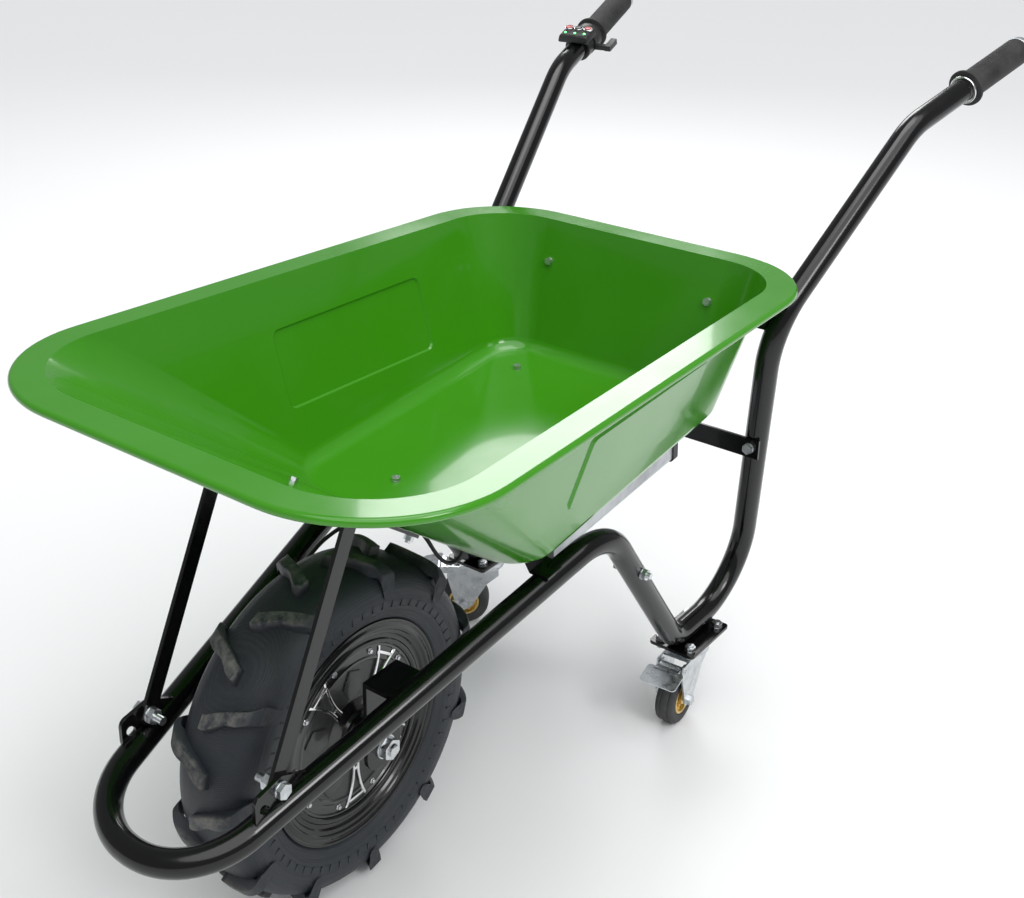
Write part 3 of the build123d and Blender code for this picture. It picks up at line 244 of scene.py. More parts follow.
class Recipe:
    """Builds the node tree of one material."""

    def __init__(self, name: str) -> None:
        """Starts a material with one shader.

        Args:
            name: Name of the material.
        """
        self.material: Material = bpy.data.materials.new(name)
        self.material.use_nodes = True
        self.nodes = self.material.node_tree.nodes
        self.links = self.material.node_tree.links
        self.shader = self.nodes["Principled BSDF"]
        self.place: Socket = self.nodes.new("ShaderNodeTexCoord").outputs["Object"]

    def set(self, **values: object) -> None:
        """Sets constants on the shader, with _ for the spaces in a socket's name."""
        for key, value in values.items():
            self.shader.inputs[key.replace("_", " ")].default_value = value

    def link(self, source: Socket, target: Socket) -> None:
        """Joins two sockets."""
        self.links.new(source, target)

    def shifted(self, offset: Point = (0, 0, 0), turn: Point = (0, 0, 0), scale: Point = (1, 1, 1)) -> Socket:
        """Returns the object's coordinates moved, turned and stretched."""
        node = self.nodes.new("ShaderNodeMapping")
        node.vector_type = "POINT"
        self.link(self.place, node.inputs["Vector"])
        node.inputs["Location"].default_value = offset
        node.inputs["Rotation"].default_value = turn
        node.inputs["Scale"].default_value = scale
        return node.outputs["Vector"]

    def noise(
        self, scale: float, detail: float = 3.0, where: Socket | None = None, rough: float = 0.55
    ) -> Socket:
        """Returns a cloudy value from 0 to 1."""
        node = self.nodes.new("ShaderNodeTexNoise")
        self.link(where or self.place, node.inputs["Vector"])
        node.inputs["Scale"].default_value = scale
        node.inputs["Detail"].default_value = detail
        node.inputs["Roughness"].default_value = rough
        return node.outputs["Fac"]

    def cells(self, scale: float, where: Socket | None = None) -> Socket:
        """Returns the distance to the nearest of many scattered points."""
        node = self.nodes.new("ShaderNodeTexVoronoi")
        self.link(where or self.place, node.inputs["Vector"])
        node.inputs["Scale"].default_value = scale
        return node.outputs["Distance"]

    def bands(self, scale: float, where: Socket | None = None, along: str = "X") -> Socket:
        """Returns smooth stripes across one direction."""
        node = self.nodes.new("ShaderNodeTexWave")
        node.bands_direction = along
        node.wave_profile = "SIN"
        self.link(where or self.place, node.inputs["Vector"])
        node.inputs["Scale"].default_value = scale
        return node.outputs["Fac"]

    def math(self, operation: str, a: Socket | float, b: Socket | float = 0.0) -> Socket:
        """Returns a sum of two values."""
        node = self.nodes.new("ShaderNodeMath")
        node.operation = operation
        for value, target in zip((a, b), node.inputs):
            if isinstance(value, (int, float)):
                target.default_value = value
            else:
                self.link(value, target)
        return node.outputs[0]

    def spread(
        self, value: Socket, low: float, high: float, to_low: float = 0.0, to_high: float = 1.0
    ) -> Socket:
        """Returns a value stretched from one range to another, and held inside it."""
        node = self.nodes.new("ShaderNodeMapRange")
        self.link(value, node.inputs["Value"])
        node.inputs["From Min"].default_value = low
        node.inputs["From Max"].default_value = high
        node.inputs["To Min"].default_value = to_low
        node.inputs["To Max"].default_value = to_high
        return node.outputs["Result"]

    def blend(self, share: Socket, first: Socket | Point, second: Socket | Point) -> Socket:
        """Returns a colour between two others."""
        node = self.nodes.new("ShaderNodeMix")
        node.data_type = "RGBA"
        self.link(share, node.inputs["Factor"])
        for value, target in zip((first, second), (node.inputs[6], node.inputs[7])):
            if isinstance(value, tuple):
                target.default_value = (*value, 1.0)
            else:
                self.link(value, target)
        return node.outputs[2]

    def bump(self, height: Socket, strength: float, distance: float, under: Socket | None = None) -> Socket:
        """Returns a normal roughened by a height."""
        node = self.nodes.new("ShaderNodeBump")
        node.inputs["Strength"].default_value = strength
        node.inputs["Distance"].default_value = distance
        self.link(height, node.inputs["Height"])
        if under is not None:
            self.link(under, node.inputs["Normal"])
        return node.outputs["Normal"]

    def radius(self, centre: Vector, axis: str = "Y") -> Socket:
        """Returns the distance from a line through a point along an axis."""
        keep = tuple(0.0 if name == axis else 1.0 for name in "XYZ")
        offset = tuple(-c * k for c, k in zip(centre, keep))
        where = self.shifted(offset=offset, scale=keep)
        node = self.nodes.new("ShaderNodeVectorMath")
        node.operation = "LENGTH"
        self.link(where, node.inputs[0])
        return node.outputs["Value"]

    def finish(
        self, colour: Socket | None = None, rough: Socket | None = None, normal: Socket | None = None
    ) -> Material:
        """Joins what varies to the shader and returns the material."""
        for source, target in ((colour, "Base Color"), (rough, "Roughness"), (normal, "Normal")):
            if source is not None:
                self.link(source, self.shader.inputs[target])
        return self.material


@dataclass(frozen=True)
class Paint:
    """Sprayed and baked paint: clear gloss over a faintly rippled coat, with a little dust."""

    colour: Point
    dust: Point
    gloss: float = 0.12
    ripple: float = 0.05
    dusty: float = 0.12
    coat: float = 0.35

    def make(self, name: str) -> Material:
        """Builds the paint's material."""
        recipe = Recipe(name)
        recipe.set(Coat_Weight=self.coat, Coat_Roughness=0.05, IOR=1.42)
        cloud = recipe.noise(9.0, 6.0)
        share = recipe.spread(cloud, 0.45, 0.8, 0.0, self.dusty)
        colour = recipe.blend(share, self.colour, self.dust)
        rough = recipe.spread(cloud, 0.3, 0.8, self.gloss, self.gloss + 0.14)
        peel = recipe.noise(260.0, 2.0)
        return recipe.finish(colour, rough, recipe.bump(peel, self.ripple, 0.0006))


@dataclass(frozen=True)
class Metal:
    """Bare or plated metal with fine scratches and slight staining."""

    colour: Point
    stain: Point
    rough: float = 0.28
    scratch: float = 0.12
    grain: Point = (1.0, 1.0, 1.0)

    def make(self, name: str) -> Material:
        """Builds the metal's material."""
        recipe = Recipe(name)
        recipe.set(Metallic=1.0)
        cloud = recipe.noise(55.0, 5.0)
        colour = recipe.blend(recipe.spread(cloud, 0.4, 0.75), self.colour, self.stain)
        lines = recipe.noise(900.0, 2.0, recipe.shifted(scale=self.grain))
        rough = recipe.spread(recipe.noise(120.0, 4.0), 0.3, 0.7, self.rough - 0.08, self.rough + 0.12)
        return recipe.finish(colour, rough, recipe.bump(lines, self.scratch, 0.0004))


@dataclass(frozen=True)
class Moulding:
    """Moulded rubber or plastic with a fine spark-eroded grain."""

    colour: Point
    worn: Point
    rough: float = 0.55
    grain: float = 0.25
    grain_scale: float = 1400.0

    def make(self, name: str) -> Material:
        """Builds the moulding's material."""
        recipe = Recipe(name)
        recipe.set(IOR=1.48)
        cloud = recipe.noise(28.0, 6.0)
        colour = recipe.blend(recipe.spread(cloud, 0.42, 0.8), self.colour, self.worn)
        rough = recipe.spread(cloud, 0.3, 0.7, self.rough - 0.07, self.rough + 0.1)
        return recipe.finish(colour, rough, recipe.bump(recipe.cells(self.grain_scale), self.grain, 0.0003))


@dataclass(frozen=True)
class TyreRubber:
    """Drive tyre: fabric-grained carcass with grey scuffed bar tops."""

    colour: Point = (0.018, 0.022, 0.028)
    scuff: Point = (0.17, 0.165, 0.155)
    tread_from: float = 0.2085
    tread_to: float = 0.2155

    def make(self, name: str) -> Material:
        """Builds the tyre's material."""
        recipe = Recipe(name)
        recipe.set(IOR=1.45)
        reach = recipe.radius(AXLE)
        top = recipe.spread(reach, self.tread_from, self.tread_to)
        patch = recipe.spread(recipe.noise(60.0, 8.0, rough=0.7), 0.38, 0.62)
        share = recipe.math("MULTIPLY", top, patch)
        dust = recipe.spread(recipe.noise(14.0, 6.0), 0.5, 0.8, 0.0, 0.12)
        base = recipe.blend(dust, self.colour, (0.1, 0.1, 0.1))
        colour = recipe.blend(recipe.math("MULTIPLY", share, 0.85), base, self.scuff)
        cross = recipe.bands(240.0, along="Y")
        ring = recipe.bands(240.0, recipe.shifted(turn=(0, math.radians(45), 0)), along="X")
        cloth = recipe.math("MULTIPLY", cross, ring)
        bare = recipe.math("SUBTRACT", 1.0, top)
        cloth = recipe.math("MULTIPLY", cloth, bare)
        pits = recipe.bump(recipe.noise(420.0, 5.0), 0.35, 0.0008)
        rough = recipe.spread(share, 0.0, 1.0, 0.5, 0.85)
        return recipe.finish(colour, rough, recipe.bump(cloth, 0.5, 0.0006, pits))


@dataclass(frozen=True)
class Lamp:
    """Small glowing lens."""

    colour: Point
    glow: float = 4.0

    def make(self, name: str) -> Material:
        """Builds the lens's material."""
        recipe = Recipe(name)
        recipe.set(Emission_Color=(*self.colour, 1.0), Emission_Strength=self.glow, Roughness=0.2)
        shade = recipe.spread(recipe.noise(900.0), 0.3, 0.7, 0.15, 0.3)
        return recipe.finish(recipe.blend(recipe.noise(700.0), self.colour, (0.9, 1.0, 0.9)), shade)


class Finish(Enum):
    """The finishes of the machine, each named for its slot in the record."""

    BLACK_PAINT = Paint((0.002, 0.002, 0.0023), (0.012, 0.012, 0.012), 0.12, 0.04, 0.08, 0.2)
    TRAY_GREEN = Paint((0.042, 0.25, 0.006), (0.09, 0.33, 0.04), 0.12, 0.03, 0.12)
    ZINC = Metal((0.66, 0.68, 0.7), (0.46, 0.48, 0.5), 0.3, 0.15)
    STEEL = Metal((0.62, 0.63, 0.65), (0.4, 0.4, 0.42), 0.22, 0.12)
    TYRE = TyreRubber()
    RUBBER = Moulding((0.012, 0.012, 0.013), (0.045, 0.045, 0.045), 0.62, 0.35, 900.0)
    CASTER_RUBBER = Moulding((0.03, 0.031, 0.033), (0.085, 0.083, 0.08), 0.68, 0.3, 700.0)
    GOLD_HUB = Metal((0.78, 0.58, 0.22), (0.6, 0.42, 0.14), 0.3, 0.2)
    ALUMINIUM = Metal((0.62, 0.64, 0.66), (0.5, 0.52, 0.54), 0.36, 0.25, (1.0, 30.0, 30.0))
    BLACK_PLASTIC = Moulding((0.012, 0.012, 0.013), (0.035, 0.035, 0.036), 0.42, 0.3, 1500.0)
    CELL_WRAP = Moulding((0.02, 0.05, 0.16), (0.05, 0.09, 0.22), 0.35, 0.1, 500.0)
    WINDING = Metal((0.65, 0.3, 0.15), (0.4, 0.16, 0.07), 0.4, 0.5, (1.0, 20.0, 1.0))
    RED_PLASTIC = Moulding((0.42, 0.02, 0.015), (0.3, 0.03, 0.03), 0.35, 0.15, 1500.0)
    LAMP_GREEN = Lamp((0.03, 0.9, 0.12))
    CHROME = Metal((0.83, 0.83, 0.84), (0.7, 0.7, 0.72), 0.12, 0.04)

    def material(self) -> Material:
        """Returns the finish's material, built once."""
        name = self.name.lower()
        return bpy.data.materials.get("finish_" + name) or self.value.make("finish_" + name)


def dress(piece: Piece, finish: Finish) -> Piece:
    """Gives a piece one finish.

    Args:
        piece: A new piece.
        finish: Its finish.

    Returns:
        The same piece.
    """
    piece.data.materials.clear()
    piece.data.materials.append(finish.material())
    return piece


# ---- stage ----


@dataclass
class Stage:
    """Floor, lights and camera."""

    eye: Point = (1.02855, 0.98517, 1.28894)
    yaw: float = 217.64
    pitch: float = 23.105
    roll: float = 0.549
    lens: float = 51.22
    shift: tuple[float, float] = (0.04825, -0.09184)
    floor_size: float = 40.0

    def floor(self) -> None:
        """Lays a pale plain floor."""
        floor = Bench.start("studio_floor", bpy.ops.mesh.primitive_plane_add, size=self.floor_size)
        recipe = Recipe("studio_floor")
        tone = recipe.blend(recipe.noise(0.8), (0.86, 0.865, 0.87), (0.88, 0.885, 0.89))
        recipe.set(Roughness=0.7)
        floor.data.materials.append(recipe.finish(tone))

    def light(self, name: str, at: Point, aim: Point, size: float, power: float) -> None:
        """Hangs one soft square lamp.

        Args:
            name: Name of the lamp.
            at: Where it hangs.
            aim: What it looks at.
            size: Its width.
            power: Its power in watts.
        """
        data = bpy.data.lights.new(name, "AREA")
        data.size = size
        data.energy = power
        lamp = bpy.data.objects.new(name, data)
        bpy.context.scene.collection.objects.link(lamp)
        lamp.location = at
        lamp.rotation_euler = (Vector(aim) - Vector(at)).to_track_quat("-Z", "Y").to_euler()

    def sun(self, way: Point, strength: float) -> None:
        """Adds one even, very soft light over the whole floor.

        Args:
            way: Direction towards it.
            strength: Its strength.
        """
        data = bpy.data.lights.new("sky", "SUN")
        data.angle = math.radians(70)
        data.energy = strength
        lamp = bpy.data.objects.new("sky", data)
        bpy.context.scene.collection.objects.link(lamp)
        lamp.rotation_euler = Vector(way).to_track_quat("Z", "Y").to_euler()

    def camera(self) -> None:
        """Sets up the camera."""
        data = bpy.data.cameras.new("camera")
        data.sensor_fit = "HORIZONTAL"
        data.sensor_width = 36.0
        data.lens = self.lens
        data.shift_x, data.shift_y = self.shift
        camera = bpy.data.objects.new("camera", data)
        bpy.context.scene.collection.objects.link(camera)
        x, y, z = self.eye
        turn = Matrix.Rotation(math.radians(self.yaw - 90), 4, "Z")
        tilt = Matrix.Rotation(math.radians(90 - self.pitch), 4, "X")
        lean = Matrix.Rotation(math.radians(self.roll), 4, "Z")
        camera.matrix_world = Matrix.Translation((AXLE.x + x, y, z)) @ turn @ tilt @ lean
        bpy.context.scene.camera = camera

    def build(self) -> None:
        """Builds the whole stage."""
        self.floor()
        world = bpy.data.worlds.new("studio")
        world.use_nodes = True
        world.node_tree.nodes["Background"].inputs["Color"].default_value = (0.95, 0.97, 1.0, 1.0)
        world.node_tree.nodes["Background"].inputs["Strength"].default_value = 0.3
        bpy.context.scene.world = world
        self.sun((0.5, 0.7, 2.0), 2.1)
        self.light("key", (0.6, 2.9, 2.6), (0, 0, 0.4), 1.0, 30.0)
        self.light("top", (-0.4, 0.2, 3.6), (0, 0, 0.5), 1.6, 24.0)
        self.light("rear", (-2.4, -1.6, 2.2), (0, 0, 0.5), 1.2, 26.0)
        self.camera()
        bpy.context.scene.view_settings.view_transform = "Standard"


# ---- cable ----


@dataclass
class MotorCable:
    """Lead from the battery's front cap, looping down and along the right rail into the axle."""

    diameter: float = 0.0052
    length: float = 0.56
    exit: Point = (-0.286, 0.012, 0.393)
    route: tuple[Point, ...] = (
        (-0.286, 0.012, 0.393),
        (-0.250, 0.012, 0.393),
        (-0.247, 0.006, 0.321),
        (-0.215, -0.002, 0.321),
        (-0.178, -0.010, 0.394),
        (-0.160, -0.062, 0.407),
        (-0.128, -0.116, 0.367),
        (-0.090, -0.12508, 0.3373),
        (-0.045, -0.11796, 0.3245),
        (-0.035, -0.122, 0.279),
        (-0.012, -0.136, 0.223),
        (0.0, -0.1001, 0.217),
    )

    def build(self) -> None:
        data = bpy.data.curves.new("motor_lead", "CURVE")
        data.dimensions = "3D"
        spline = data.splines.new("NURBS")
        spline.points.add(len(self.route) - 1)
        for point, (x, y, z) in zip(spline.points, self.route):
            point.co = (AXLE.x + x, y, z, 1.0)
        spline.order_u = 3
        spline.use_endpoint_u = True
        spline.resolution_u = 12
        data.bevel_depth = self.diameter / 2
        data.bevel_resolution = 5
        data.use_fill_caps = True
        lead = bpy.data.objects.new("motor_lead", data)
        bpy.context.scene.collection.objects.link(lead)
        data.materials.append(Finish.RUBBER.material())
        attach(lead, "frame")
        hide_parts("motor_cable")


# ---- drive wheel ----


def on_axle(turn: float = 0.0, flip: bool = False) -> Matrix:
    """Returns the place of a piece made about Z and laid along the drive axle.

    Args:
        turn: Turn about the axle, in radians.
        flip: True for the right-hand side.

    Returns:
        The matrix that lays it there.
    """
    side = Matrix.Rotation(math.pi, 4, "X") if flip else Matrix.Identity(4)
    lie = Matrix.Rotation(-math.pi / 2, 4, "X")
    return Matrix.Translation((AXLE.x, 0, AXLE.z)) @ lie @ side @ Matrix.Rotation(turn, 4, "Z")


@dataclass
class DriveTyre:
    """Field tyre with bars that lean back from the middle of the tread."""

    bars: int = 11
    reach: float = 0.2164
    carcass: tuple[tuple[float, float], ...] = (
        (0.1400, 0.0435),
        (0.1425, 0.0475),
        (0.1470, 0.0500),
        (0.1510, 0.0510),
        (0.1530, 0.0527),
        (0.1605, 0.0548),
        (0.1700, 0.0557),
        (0.1800, 0.0545),
        (0.1895, 0.0505),
        (0.1970, 0.0430),
        (0.2022, 0.0320),
        (0.2050, 0.0180),
    )
    bar_path: tuple[tuple[float, float, float, float], ...] = (
        (-0.0090, -0.0200, 0.2160, 0.0210),
        (0.0000, -0.0150, 0.2164, 0.0250),
        (0.0100, -0.0060, 0.2164, 0.0190),
        (0.0200, 0.0000, 0.2162, 0.0175),
        (0.0310, 0.0030, 0.2156, 0.0215),
        (0.0400, 0.0080, 0.2140, 0.0200),
        (0.0475, 0.0130, 0.2100, 0.0200),
        (0.0535, 0.0160, 0.2015, 0.0220),
        (0.0555, 0.0165, 0.1900, 0.0180),
        (0.0551, 0.0165, 0.1810, 0.0110),
    )
    marks: int = 60

    def shell(self) -> Piece:
        """Turns the carcass, hollow and open at its beads."""
        left = list(self.carcass)
        right = [(radius, -height) for radius, height in reversed(left)]
        inside = [(0.1290, -0.0435), (0.1290, -0.0310), (0.1490, -0.0400)]
        inside += [(0.1700, -0.0450), (0.1860, -0.0380), (0.1940, 0.0)]
        inside += [(radius, -height) for radius, height in reversed(inside[:-1])]
        outline = left + [(0.2056, 0.0)] + right + inside + [left[0]]
        return Bench.soften(Bench.lathe("drive_tyre", outline, 132), 0.0010, 2, 25)

    def bar(self) -> Piece:
        """Shapes one tread bar at the front of the wheel, its middle end leading."""
        (y, t, top, wide), *rest = self.bar_path
        root = 0.1970
        at = ((top + root) / 2, y, t)
        piece = Bench.start("tread_bar", bpy.ops.mesh.primitive_cube_add, size=1.0, location=at)
        Bench.take(piece)
        piece.scale = (top - root, 0.004, wide)
        bpy.ops.object.transform_apply(location=True, rotation=False, scale=True)
        for y1, t1, top1, wide1 in rest:
            Bench.faces(piece, lambda face: face.normal.y > 0.7 and face.calc_center_median().y > y)
            middle_now = (top + root) / 2
            root1 = min(root, top1 - 0.012) if top1 < 0.208 else root
            middle_next = (top1 + root1) / 2
            move = (middle_next - middle_now, y1 - y, t1 - t)
            bpy.ops.mesh.extrude_region_move(TRANSFORM_OT_translate={"value": move})
            share = (top1 - root1) / (top - root)
            bpy.ops.transform.resize(value=(share, 1.0, wide1 / wide), center_override=(middle_next, y1, t1))
            Bench.close()
            y, t, top, wide, root = y1, t1, top1, wide1, root1
        Bench.faces(piece, lambda face: face.normal.x > 0.6)
        bpy.ops.transform.resize(value=(1.0, 0.98, 0.8), center_override=(0.209, 0.02, 0.0))
        Bench.close()
        limit = math.radians(40)
        Bench.modify(piece, "BEVEL", width=0.0016, segments=2, limit_method="ANGLE", angle_limit=limit)
        Bench.modify(piece, "SUBSURF", levels=1, render_levels=1)
        return piece

    def mark(self) -> Piece:
        """Shapes one small moulded dash of the sidewall."""
        at = (0.1630, 0.0550, 0.0)
        piece = Bench.start("sidewall_dash", bpy.ops.mesh.primitive_cube_add, size=1.0, location=at)
        piece.scale = (0.0085, 0.0018, 0.0022)
        Bench.take(piece)
        bpy.ops.object.transform_apply(location=True, rotation=False, scale=True)
        return Bench.soften(piece, 0.0003, 1)

    def build(self) -> None:
        """Builds the tyre with all its bars and dashes."""
        shell = Bench.lay(self.shell(), on_axle())
        pieces = [shell]
        bar, mark = self.bar(), self.mark()
        flat = Matrix.Scale(-1, 4, (0, 1, 0))
        hub = Matrix.Translation((AXLE.x, 0, AXLE.z))
        for index in range(self.bars):
            turn = -math.tau * index / self.bars
            half = turn - math.pi / self.bars
            pieces.append(Bench.copy(bar, hub @ Matrix.Rotation(turn, 4, "Y")))
            pieces.append(Bench.copy(bar, hub @ Matrix.Rotation(half, 4, "Y") @ flat))
        for index in range(self.marks):
            spin = Matrix.Rotation(math.tau * index / self.marks, 4, "Y")
            pieces.append(Bench.copy(mark, hub @ spin))
            pieces.append(Bench.copy(mark, hub @ spin @ flat))
        for spare in (bar, mark):
            Bench.take(spare)
            bpy.ops.object.delete()
        tyre = Bench.join("drive_tyre", pieces)
        Bench.edit(tyre)
        bpy.ops.mesh.select_all(action="SELECT")
        bpy.ops.mesh.normals_make_consistent(inside=False)
        Bench.close()
        Bench.take(tyre)
        bpy.ops.object.shade_smooth_by_angle(angle=math.radians(45))
        dress(tyre, Finish.TYRE)
        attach(tyre, "wheel")
        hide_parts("tyre")


@dataclass
class HubMotor:
    """Stepped rim, motor covers with polished spokes, and the cover screws."""

    cover: float = 0.0369
    face: float = 0.1068
    spokes: int = 5
    screws: int = 10
    screw_ring: float = 0.098
    spoke_path: tuple[tuple[float, float, float, float], ...] = (
        (0.0400, 0.0040, 0.0050, 0.0032),
        (0.0500, 0.0035, 0.0042, 0.0034),
        (0.0600, 0.0040, 0.0040, 0.0036),
        (0.0700, 0.0055, 0.0040, 0.0036),
        (0.0800, 0.0078, 0.0042, 0.0034),
        (0.0900, 0.0112, 0.0046, 0.0030),
        (0.0990, 0.0152, 0.0054, 0.0024),
        (0.1045, 0.0182, 0.0070, 0.0016),
    )

    def rim(self) -> None:
        """Turns the stepped steel rim."""
        half = [
            (0.1072, 0.0400),
            (0.1090, 0.0418),
            (0.1130, 0.0418),
            (0.1150, 0.0400),
            (0.1195, 0.0400),
            (0.1215, 0.0432),
            (0.1255, 0.0440),
            (0.1272, 0.0462),
            (0.1300, 0.0466),
            (0.1330, 0.0455),
            (0.1350, 0.0450),
            (0.1368, 0.0468),
            (0.1395, 0.0468),
            (0.1398, 0.0442),
            (0.1282, 0.0438),
            (0.1278, 0.0262),
            (0.1170, 0.0200),
        ]
        other = [(radius, -height) for radius, height in reversed(half)]
        rim = Bench.lathe("stepped_rim", half + other + [half[0]], 128)
        Bench.soften(rim, 0.0004, 2, 20)
        dress(Bench.lay(rim, on_axle()), Finish.BLACK_PAINT)
        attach(rim, "wheel")
        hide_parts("rim")

    def spoke_pair(self, name: str) -> Piece:
        """Shapes one pair of curved ribs with their two small bridges."""
        low = self.cover - 0.0004
        (x, y, wide, tall), *rest = self.spoke_path
        rib = Bench.start("rib", bpy.ops.mesh.primitive_cube_add, size=1.0, location=(x, y, low + tall / 2))
        rib.scale = (0.001, wide, tall)
        Bench.take(rib)
        bpy.ops.object.transform_apply(location=True, rotation=False, scale=True)
        for x1, y1, wide1, tall1 in rest:
            Bench.faces(rib, lambda face: face.normal.x > 0.7 and face.calc_center_median().x > x)
            move = (x1 - x, y1 - y, (tall1 - tall) / 2)
            bpy.ops.mesh.extrude_region_move(TRANSFORM_OT_translate={"value": move})
            size = (1.0, wide1 / wide, tall1 / tall)
            bpy.ops.transform.resize(value=size, center_override=(x1, y1, low + tall1 / 2))
            Bench.close()
            x, y, wide, tall = x1, y1, wide1, tall1
        Bench.modify(rib, "SUBSURF", levels=1, render_levels=1)
        twin = Bench.copy(rib, Matrix.Scale(-1, 4, (0, 1, 0)))
        Bench.edit(twin)
        bpy.ops.mesh.select_all(action="SELECT")
        bpy.ops.mesh.normals_make_consistent(inside=False)
        Bench.close()
        pieces = [rib, twin]
        for x, wide in ((0.054, 0.0085), (0.0955, 0.0270)):
            at = (x, 0, low + 0.0015)
            bridge = Bench.start("bridge", bpy.ops.mesh.primitive_cube_add, size=1.0, location=at)
            bridge.scale = (0.0036, wide, 0.0026)
            Bench.take(bridge)
            bpy.ops.object.transform_apply(location=True, rotation=False, scale=True)
            Bench.modify(bridge, "BEVEL", width=0.0005, segments=2)
            pieces.append(bridge)
        pair = Bench.join(name, pieces)
        Bench.take(pair)
        bpy.ops.object.shade_smooth_by_angle(angle=math.radians(40))
        return pair

    def side(self, name: str, flip: bool) -> None:
        """Builds one motor cover and its spokes.

        Args:
            name: left or right.
            flip: True for the right-hand side.
        """
        z = self.cover
        profile = [
            (0.0105, z + 0.0165),
            (0.0200, z + 0.0165),
            (0.0240, z + 0.0150),
            (0.0262, z + 0.0115),
            (0.0290, z + 0.0105),
            (0.0300, z + 0.0060),
            (0.0345, z + 0.0030),
            (0.0400, z + 0.0008),
            (0.0420, z - 0.0008),
            (0.0860, z - 0.0008),
            (0.0880, z + 0.0010),
            (0.0910, z + 0.0012),
            (0.0930, z),
            (0.1030, z),
            (0.1042, z + 0.0022),
            (self.face, z + 0.0022),
            (self.face, z - 0.0045),
            (0.0105, z - 0.0045),
            (0.0105, z + 0.0165),
        ]
        cover = Bench.lathe("hub_cover_" + name, profile, 120)
        pads = []
        for index in range(self.spokes):
            turn = math.radians(72 * index + 54)
            at = (0.064 * math.cos(turn), 0.064 * math.sin(turn), z - 0.0002)
            add = bpy.ops.mesh.primitive_cylinder_add
            pad = Bench.start("pad", add, vertices=5, radius=0.5, depth=1.0, location=at)
            pad.rotation_euler = (0, 0, turn)
            pad.scale = (0.042, 0.034, 0.0014)
            pads.append(pad)
        for pad in pads:
            Bench.take(pad)
            bpy.ops.object.transform_apply(location=True, rotation=True, scale=True)
            Bench.modify(pad, "BEVEL", width=0.0004, segments=2)
        cover = Bench.join("hub_cover_" + name, [*pads, cover])
        Bench.soften(cover, 0.0004, 2, 20)
        place = on_axle(flip=flip)
        Bench.lay(cover, place)
        dress(cover, Finish.BLACK_PAINT)
        cover.data.materials[0] = knurled_cover()
        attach(cover, "wheel")
        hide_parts("motor_cover_" + name)
        pair = self.spoke_pair("spoke")
        pairs = [Bench.copy(pair, on_axle(math.radians(72 * k + 18), flip)) for k in range(self.spokes)]
        Bench.take(pair)
        bpy.ops.object.delete()
        spokes = dress(Bench.join("polished_spokes_" + name, pairs), Finish.CHROME)
        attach(spokes, "wheel")

    def screw(self) -> Piece:
        """Shapes one flanged hexagon screw above the cover."""
        z = self.cover
        outline = [(0.0, z), (0.0040, z), (0.0040, z + 0.0007), (0.0026, z + 0.0012), (0.0, z + 0.0012)]
        flange = Bench.lathe("flange", outline, 24)
        at = (0, 0, z + 0.0018)
        add = bpy.ops.mesh.primitive_cylinder_add
        head = Bench.start("head", add, vertices=6, radius=0.0029, depth=0.0022, location=at)
        screw = Bench.join("screw", [flange, head])
        return Bench.soften(screw, 0.00025, 1)

    def build(self) -> None:
        """Builds the rim, both covers and every screw."""
        self.rim()
        self.side("left", False)
        self.side("right", True)
        screw = self.screw()
        screws = []
        for flip in (False, True):
            for index in range(self.screws):
                out = Matrix.Translation((self.screw_ring, 0, 0))
                screws.append(Bench.copy(screw, on_axle(math.tau * index / self.screws, flip) @ out))
        Bench.take(screw)
        bpy.ops.object.delete()
        whole = dress(Bench.join("hub_screws", screws), Finish.STEEL)
        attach(whole, "wheel")
        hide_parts("cover_screws")


def knurled_cover() -> Material:
    """Returns the covers' finish: gloss paint over a fine crossed grain between the spokes."""
    ready = bpy.data.materials.get("finish_knurled_cover")
    if ready:
        return ready
    recipe = Recipe("finish_knurled_cover")
    recipe.set(Coat_Weight=0.35, Coat_Roughness=0.08)
    lean = math.radians(45)
    one = recipe.bands(210.0, recipe.shifted(turn=(0, lean, 0)), "X")
    two = recipe.bands(210.0, recipe.shifted(turn=(0, -lean, 0)), "X")
    cross = recipe.math("MULTIPLY", one, two)
    reach = recipe.radius(AXLE)
    outer = recipe.spread(reach, 0.0862, 0.0868, 1.0, 0.0)
    inner = recipe.spread(reach, 0.0415, 0.0425, 0.0, 1.0)
    grain = recipe.math("MULTIPLY", cross, recipe.math("MULTIPLY", outer, inner))
    dust = recipe.spread(recipe.noise(40.0, 5.0), 0.4, 0.8)
    colour = recipe.blend(dust, (0.006, 0.006, 0.007), (0.022, 0.022, 0.023))
    rough = recipe.spread(grain, 0.0, 1.0, 0.2, 0.45)
    return recipe.finish(colour, rough, recipe.bump(grain, 0.6, 0.0006))


# ---- handles and casters ----


def on_joint(name: str, way: float = 1.0) -> Matrix:
    """Returns the place of a piece made about Z and laid along a joint's axis.

    Args:
        name: The joint's name in the record.
        way: 1 to look along the axis, -1 to look against it.

    Returns:
        The matrix that lays it there.
    """
    joints = {joint["name"]: joint for joint in frame["record"]["behaviour"]["joints"]}
    along = Vector(joints[name]["axis"]) * way
    side = Vector((0, 0, 1)).cross(along).normalized()
    turn = Matrix((side, along.cross(side), along)).transposed()
    return Matrix.Translation(joints[name]["pos_m"]) @ turn.to_4x4()


